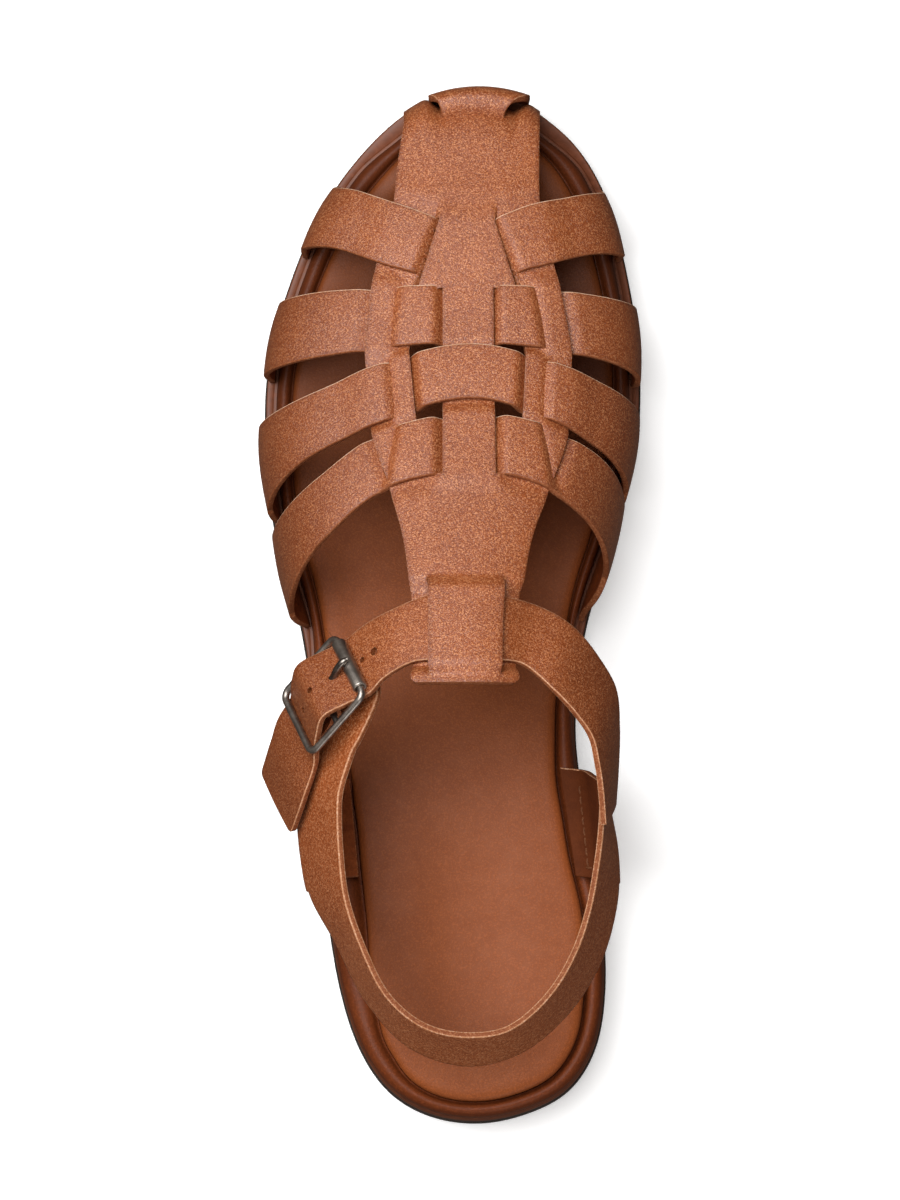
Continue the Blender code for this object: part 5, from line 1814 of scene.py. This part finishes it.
# The buckle
def wire(name, path, radius, closed, material, thinning=None):
    """Round wire along a path of points; thinning gives each point's share of the radius."""
    curve = round_curve(name, radius, WIRE_ROUNDNESS, not closed)
    spline = curve.splines.new("POLY")
    spline.points.add(len(path) - 1)
    spline.use_cyclic_u = closed
    for number, (place, point) in enumerate(zip(spline.points, path)):
        place.co = (*(point * MM), 1.0)
        if thinning is not None:
            place.radius = thinning[number]
    return curve_mesh(name, curve, material)


def turned(name, half_width, rim, along, material):
    """Ring-shaped piece round an axis across the buckle, alike at both ends and closed on itself."""
    profile = [(row.inset - half_width, row.radius) for row in rim]
    profile += [(half_width - row.inset, row.radius) for row in reversed(rim)]
    angles = [2 * math.pi * side / TURNED_SIDES for side in range(TURNED_SIDES)]
    points = []
    for across, radius in profile:
        for angle in angles:
            point = at_buckle(along + math.cos(angle) * radius, across, math.sin(angle) * radius)
            points.append(tuple(point))
    faces = ring_faces(TURNED_SIDES, len(profile))
    last = (len(profile) - 1) * TURNED_SIDES
    for side in range(TURNED_SIDES):
        after = (side + 1) % TURNED_SIDES
        faces.append((last + side, last + after, after, side))
    return turn_outwards(mesh_object(name, points, faces, [material]))


def join_meshes(name, items):
    """One object from several that share a material."""
    shape = bmesh.new()
    for item in items:
        shape.from_mesh(item.data)
    mesh = mesh_from(shape, name)
    mesh.materials.append(items[0].data.materials[0])
    for item in items:
        bpy.data.objects.remove(item)
    return link(name, mesh)


def buckle_frame():
    """Rounded wire loop with its middle bar."""
    path = []
    for quarter, (along, across) in enumerate(((-1, -1), (-1, 1), (1, 1), (1, -1))):
        for step in range(WIRE_CORNER_STEPS + 1):
            angle = math.radians(270 - 90 * quarter - 90 * step / WIRE_CORNER_STEPS)
            path.append(at_buckle(
                along * (BUCKLE_HALF_LENGTH - WIRE_CORNER) + WIRE_CORNER * math.cos(angle),
                across * (BUCKLE_HALF_WIDTH - WIRE_CORNER) + WIRE_CORNER * math.sin(angle),
                0.0))
    loop = wire("buckle_loop", path, WIRE_RADIUS, True, FRAME_METAL)
    bar_path = [at_buckle(0.0, -BUCKLE_HALF_WIDTH, 0.0), at_buckle(0.0, BUCKLE_HALF_WIDTH, 0.0)]
    bar = wire("buckle_bar", bar_path, BAR_RADIUS, False, FRAME_METAL)
    return settle(join_meshes("buckle_frame_piece", [loop, bar]), "buckle_frame")


def buckle_roller():
    """Tube that turns on the front wire of the frame."""
    item = turned("buckle_roller_piece", ROLLER_HALF_WIDTH, ROLLER_RIM, -BUCKLE_HALF_LENGTH, ROLLER_METAL)
    return settle(item, "buckle_roller")


def buckle_pin():
    """Pin from its eye on the middle bar, through the strap and over the roller."""
    rows = smooth(np.arange(len(PIN_PATH)), PIN_PATH, np.linspace(0, len(PIN_PATH) - 1, PIN_POINTS))
    path = [at_buckle(along, 0.0, out) for along, out in rows]
    thinning = 1.0 - PIN_TAPER * rise(PIN_TAPER_FROM, 1.0, np.linspace(0.0, 1.0, PIN_POINTS))
    shank = wire("pin_shank", path, PIN_RADIUS, False, PIN_METAL, thinning)
    eye = turned("pin_eye", PIN_EYE_HALF_WIDTH, PIN_EYE_RIM, 0.0, PIN_METAL)
    return settle(join_meshes("buckle_pin_piece", [shank, eye]), "buckle_pin")


def chape():
    """Leather fold that holds the middle bar, in two halves beside the pin."""
    fold = list(CHAPE_START)
    for angle in np.radians(np.linspace(*CHAPE_TURN, CHAPE_TURN_POINTS)):
        fold.append((CHAPE_TURN_RADIUS * math.cos(angle), CHAPE_TURN_RADIUS * math.sin(angle)))
    fold = np.array(fold + CHAPE_END)
    walked = walked_along(fold)
    rows = smooth(walked, fold, np.linspace(0.0, walked[-1], CHAPE_ROWS))
    halves = []
    for low, high in CHAPE_HALVES:
        columns = np.linspace(low, high, CHAPE_COLUMNS)
        points = []
        for along, out in rows:
            points.append([tuple(at_buckle(along, across, out)) for across in columns])
        points = np.array(points)
        item = leather_band("chape_half", points, ANKLE_FINISH, CHAPE_LEATHER, tuple(BUCKLE_CENTRE))
        halves.append(baked(item))
    joined = halves[0]
    with bpy.context.temp_override(active_object=joined, object=joined, selected_editable_objects=halves):
        bpy.ops.object.join()
    joined.name = "chape_fold"
    return settle(joined, "chape")


outsole()
midsole()
footbed()
insole()
spine()
for strap_number in WEAVE:
    cross_strap(strap_number)
toe_loop()
ankle_strap()
heel_strap()
buckle_frame()
buckle_roller()
buckle_pin()
chape()


# Floor, light and camera
FLOOR_SIZE = 40.0
FLOOR_GREY = (0.86, 0.86, 0.86)
FLOOR_GLOW = 0.37
WORLD_COLOUR = (1.0, 0.82, 0.70)
WORLD_STRENGTH = 0.12
SHOE_CENTRE = Vector((0.0, 0.0, 0.03))
Lamp = namedtuple("Lamp", "name place size power")
LAMPS = [
    Lamp("key", (-0.56, 0.36, 1.95), 1.9, 68.0),
    Lamp("fill", (-1.5, 0.3, 1.1), 1.2, 2.0),
    Lamp("rear", (0.5, -1.8, 0.8), 1.2, 10.5),
]
FRAME_HEIGHT = 0.324
CAMERA_DISTANCE = 10.0
CAMERA_ELEVATION = 86.0
CAMERA_REACH = 100.0
SENSOR = 36.0


def floor():
    """Pale paper that doesn't throw its own light back on the shoe."""
    shape = bmesh.new()
    bmesh.ops.create_grid(shape, x_segments=1, y_segments=1, size=FLOOR_SIZE / 2)
    mesh = mesh_from(shape, "floor")
    material = new_material(
        "floor_paper", Base_Color=FLOOR_GREY, Roughness=0.9, Specular_IOR_Level=0.1,
        Emission_Color=(1.0, 1.0, 1.0), Emission_Strength=FLOOR_GLOW)[0]
    mesh.materials.append(material)
    item = link("floor", mesh)
    item.visible_diffuse = False
    item.visible_glossy = False


def area_light(lamp):
    light = bpy.data.lights.new(lamp.name, "AREA")
    light.shape = "DISK"
    light.size = lamp.size
    light.energy = lamp.power
    item = link(lamp.name, light)
    item.location = lamp.place
    item.rotation_euler = (SHOE_CENTRE - Vector(lamp.place)).to_track_quat("-Z", "Y").to_euler()
    item.visible_camera = False


def studio():
    world = bpy.data.worlds.new("studio")
    world.use_nodes = True
    background = world.node_tree.nodes["Background"]
    feed(world.node_tree, background.inputs["Color"], WORLD_COLOUR)
    feed(world.node_tree, background.inputs["Strength"], WORLD_STRENGTH)
    bpy.context.scene.world = world
    for lamp in LAMPS:
        area_light(lamp)


def camera():
    """Long lens that looks almost straight down, from a little behind the heel."""
    data = bpy.data.cameras.new("camera")
    data.sensor_width = SENSOR
    data.lens = SENSOR * CAMERA_DISTANCE / FRAME_HEIGHT
    data.clip_end = CAMERA_REACH
    item = link("camera", data)
    lift = math.radians(CAMERA_ELEVATION)
    back = Vector((0.0, -math.cos(lift), math.sin(lift)))
    item.location = SHOE_CENTRE + back * CAMERA_DISTANCE
    item.rotation_euler = (-back).to_track_quat("-Z", "Y").to_euler()
    bpy.context.scene.camera = item


floor()
studio()
camera()
bpy.context.scene.view_settings.view_transform = "Standard"
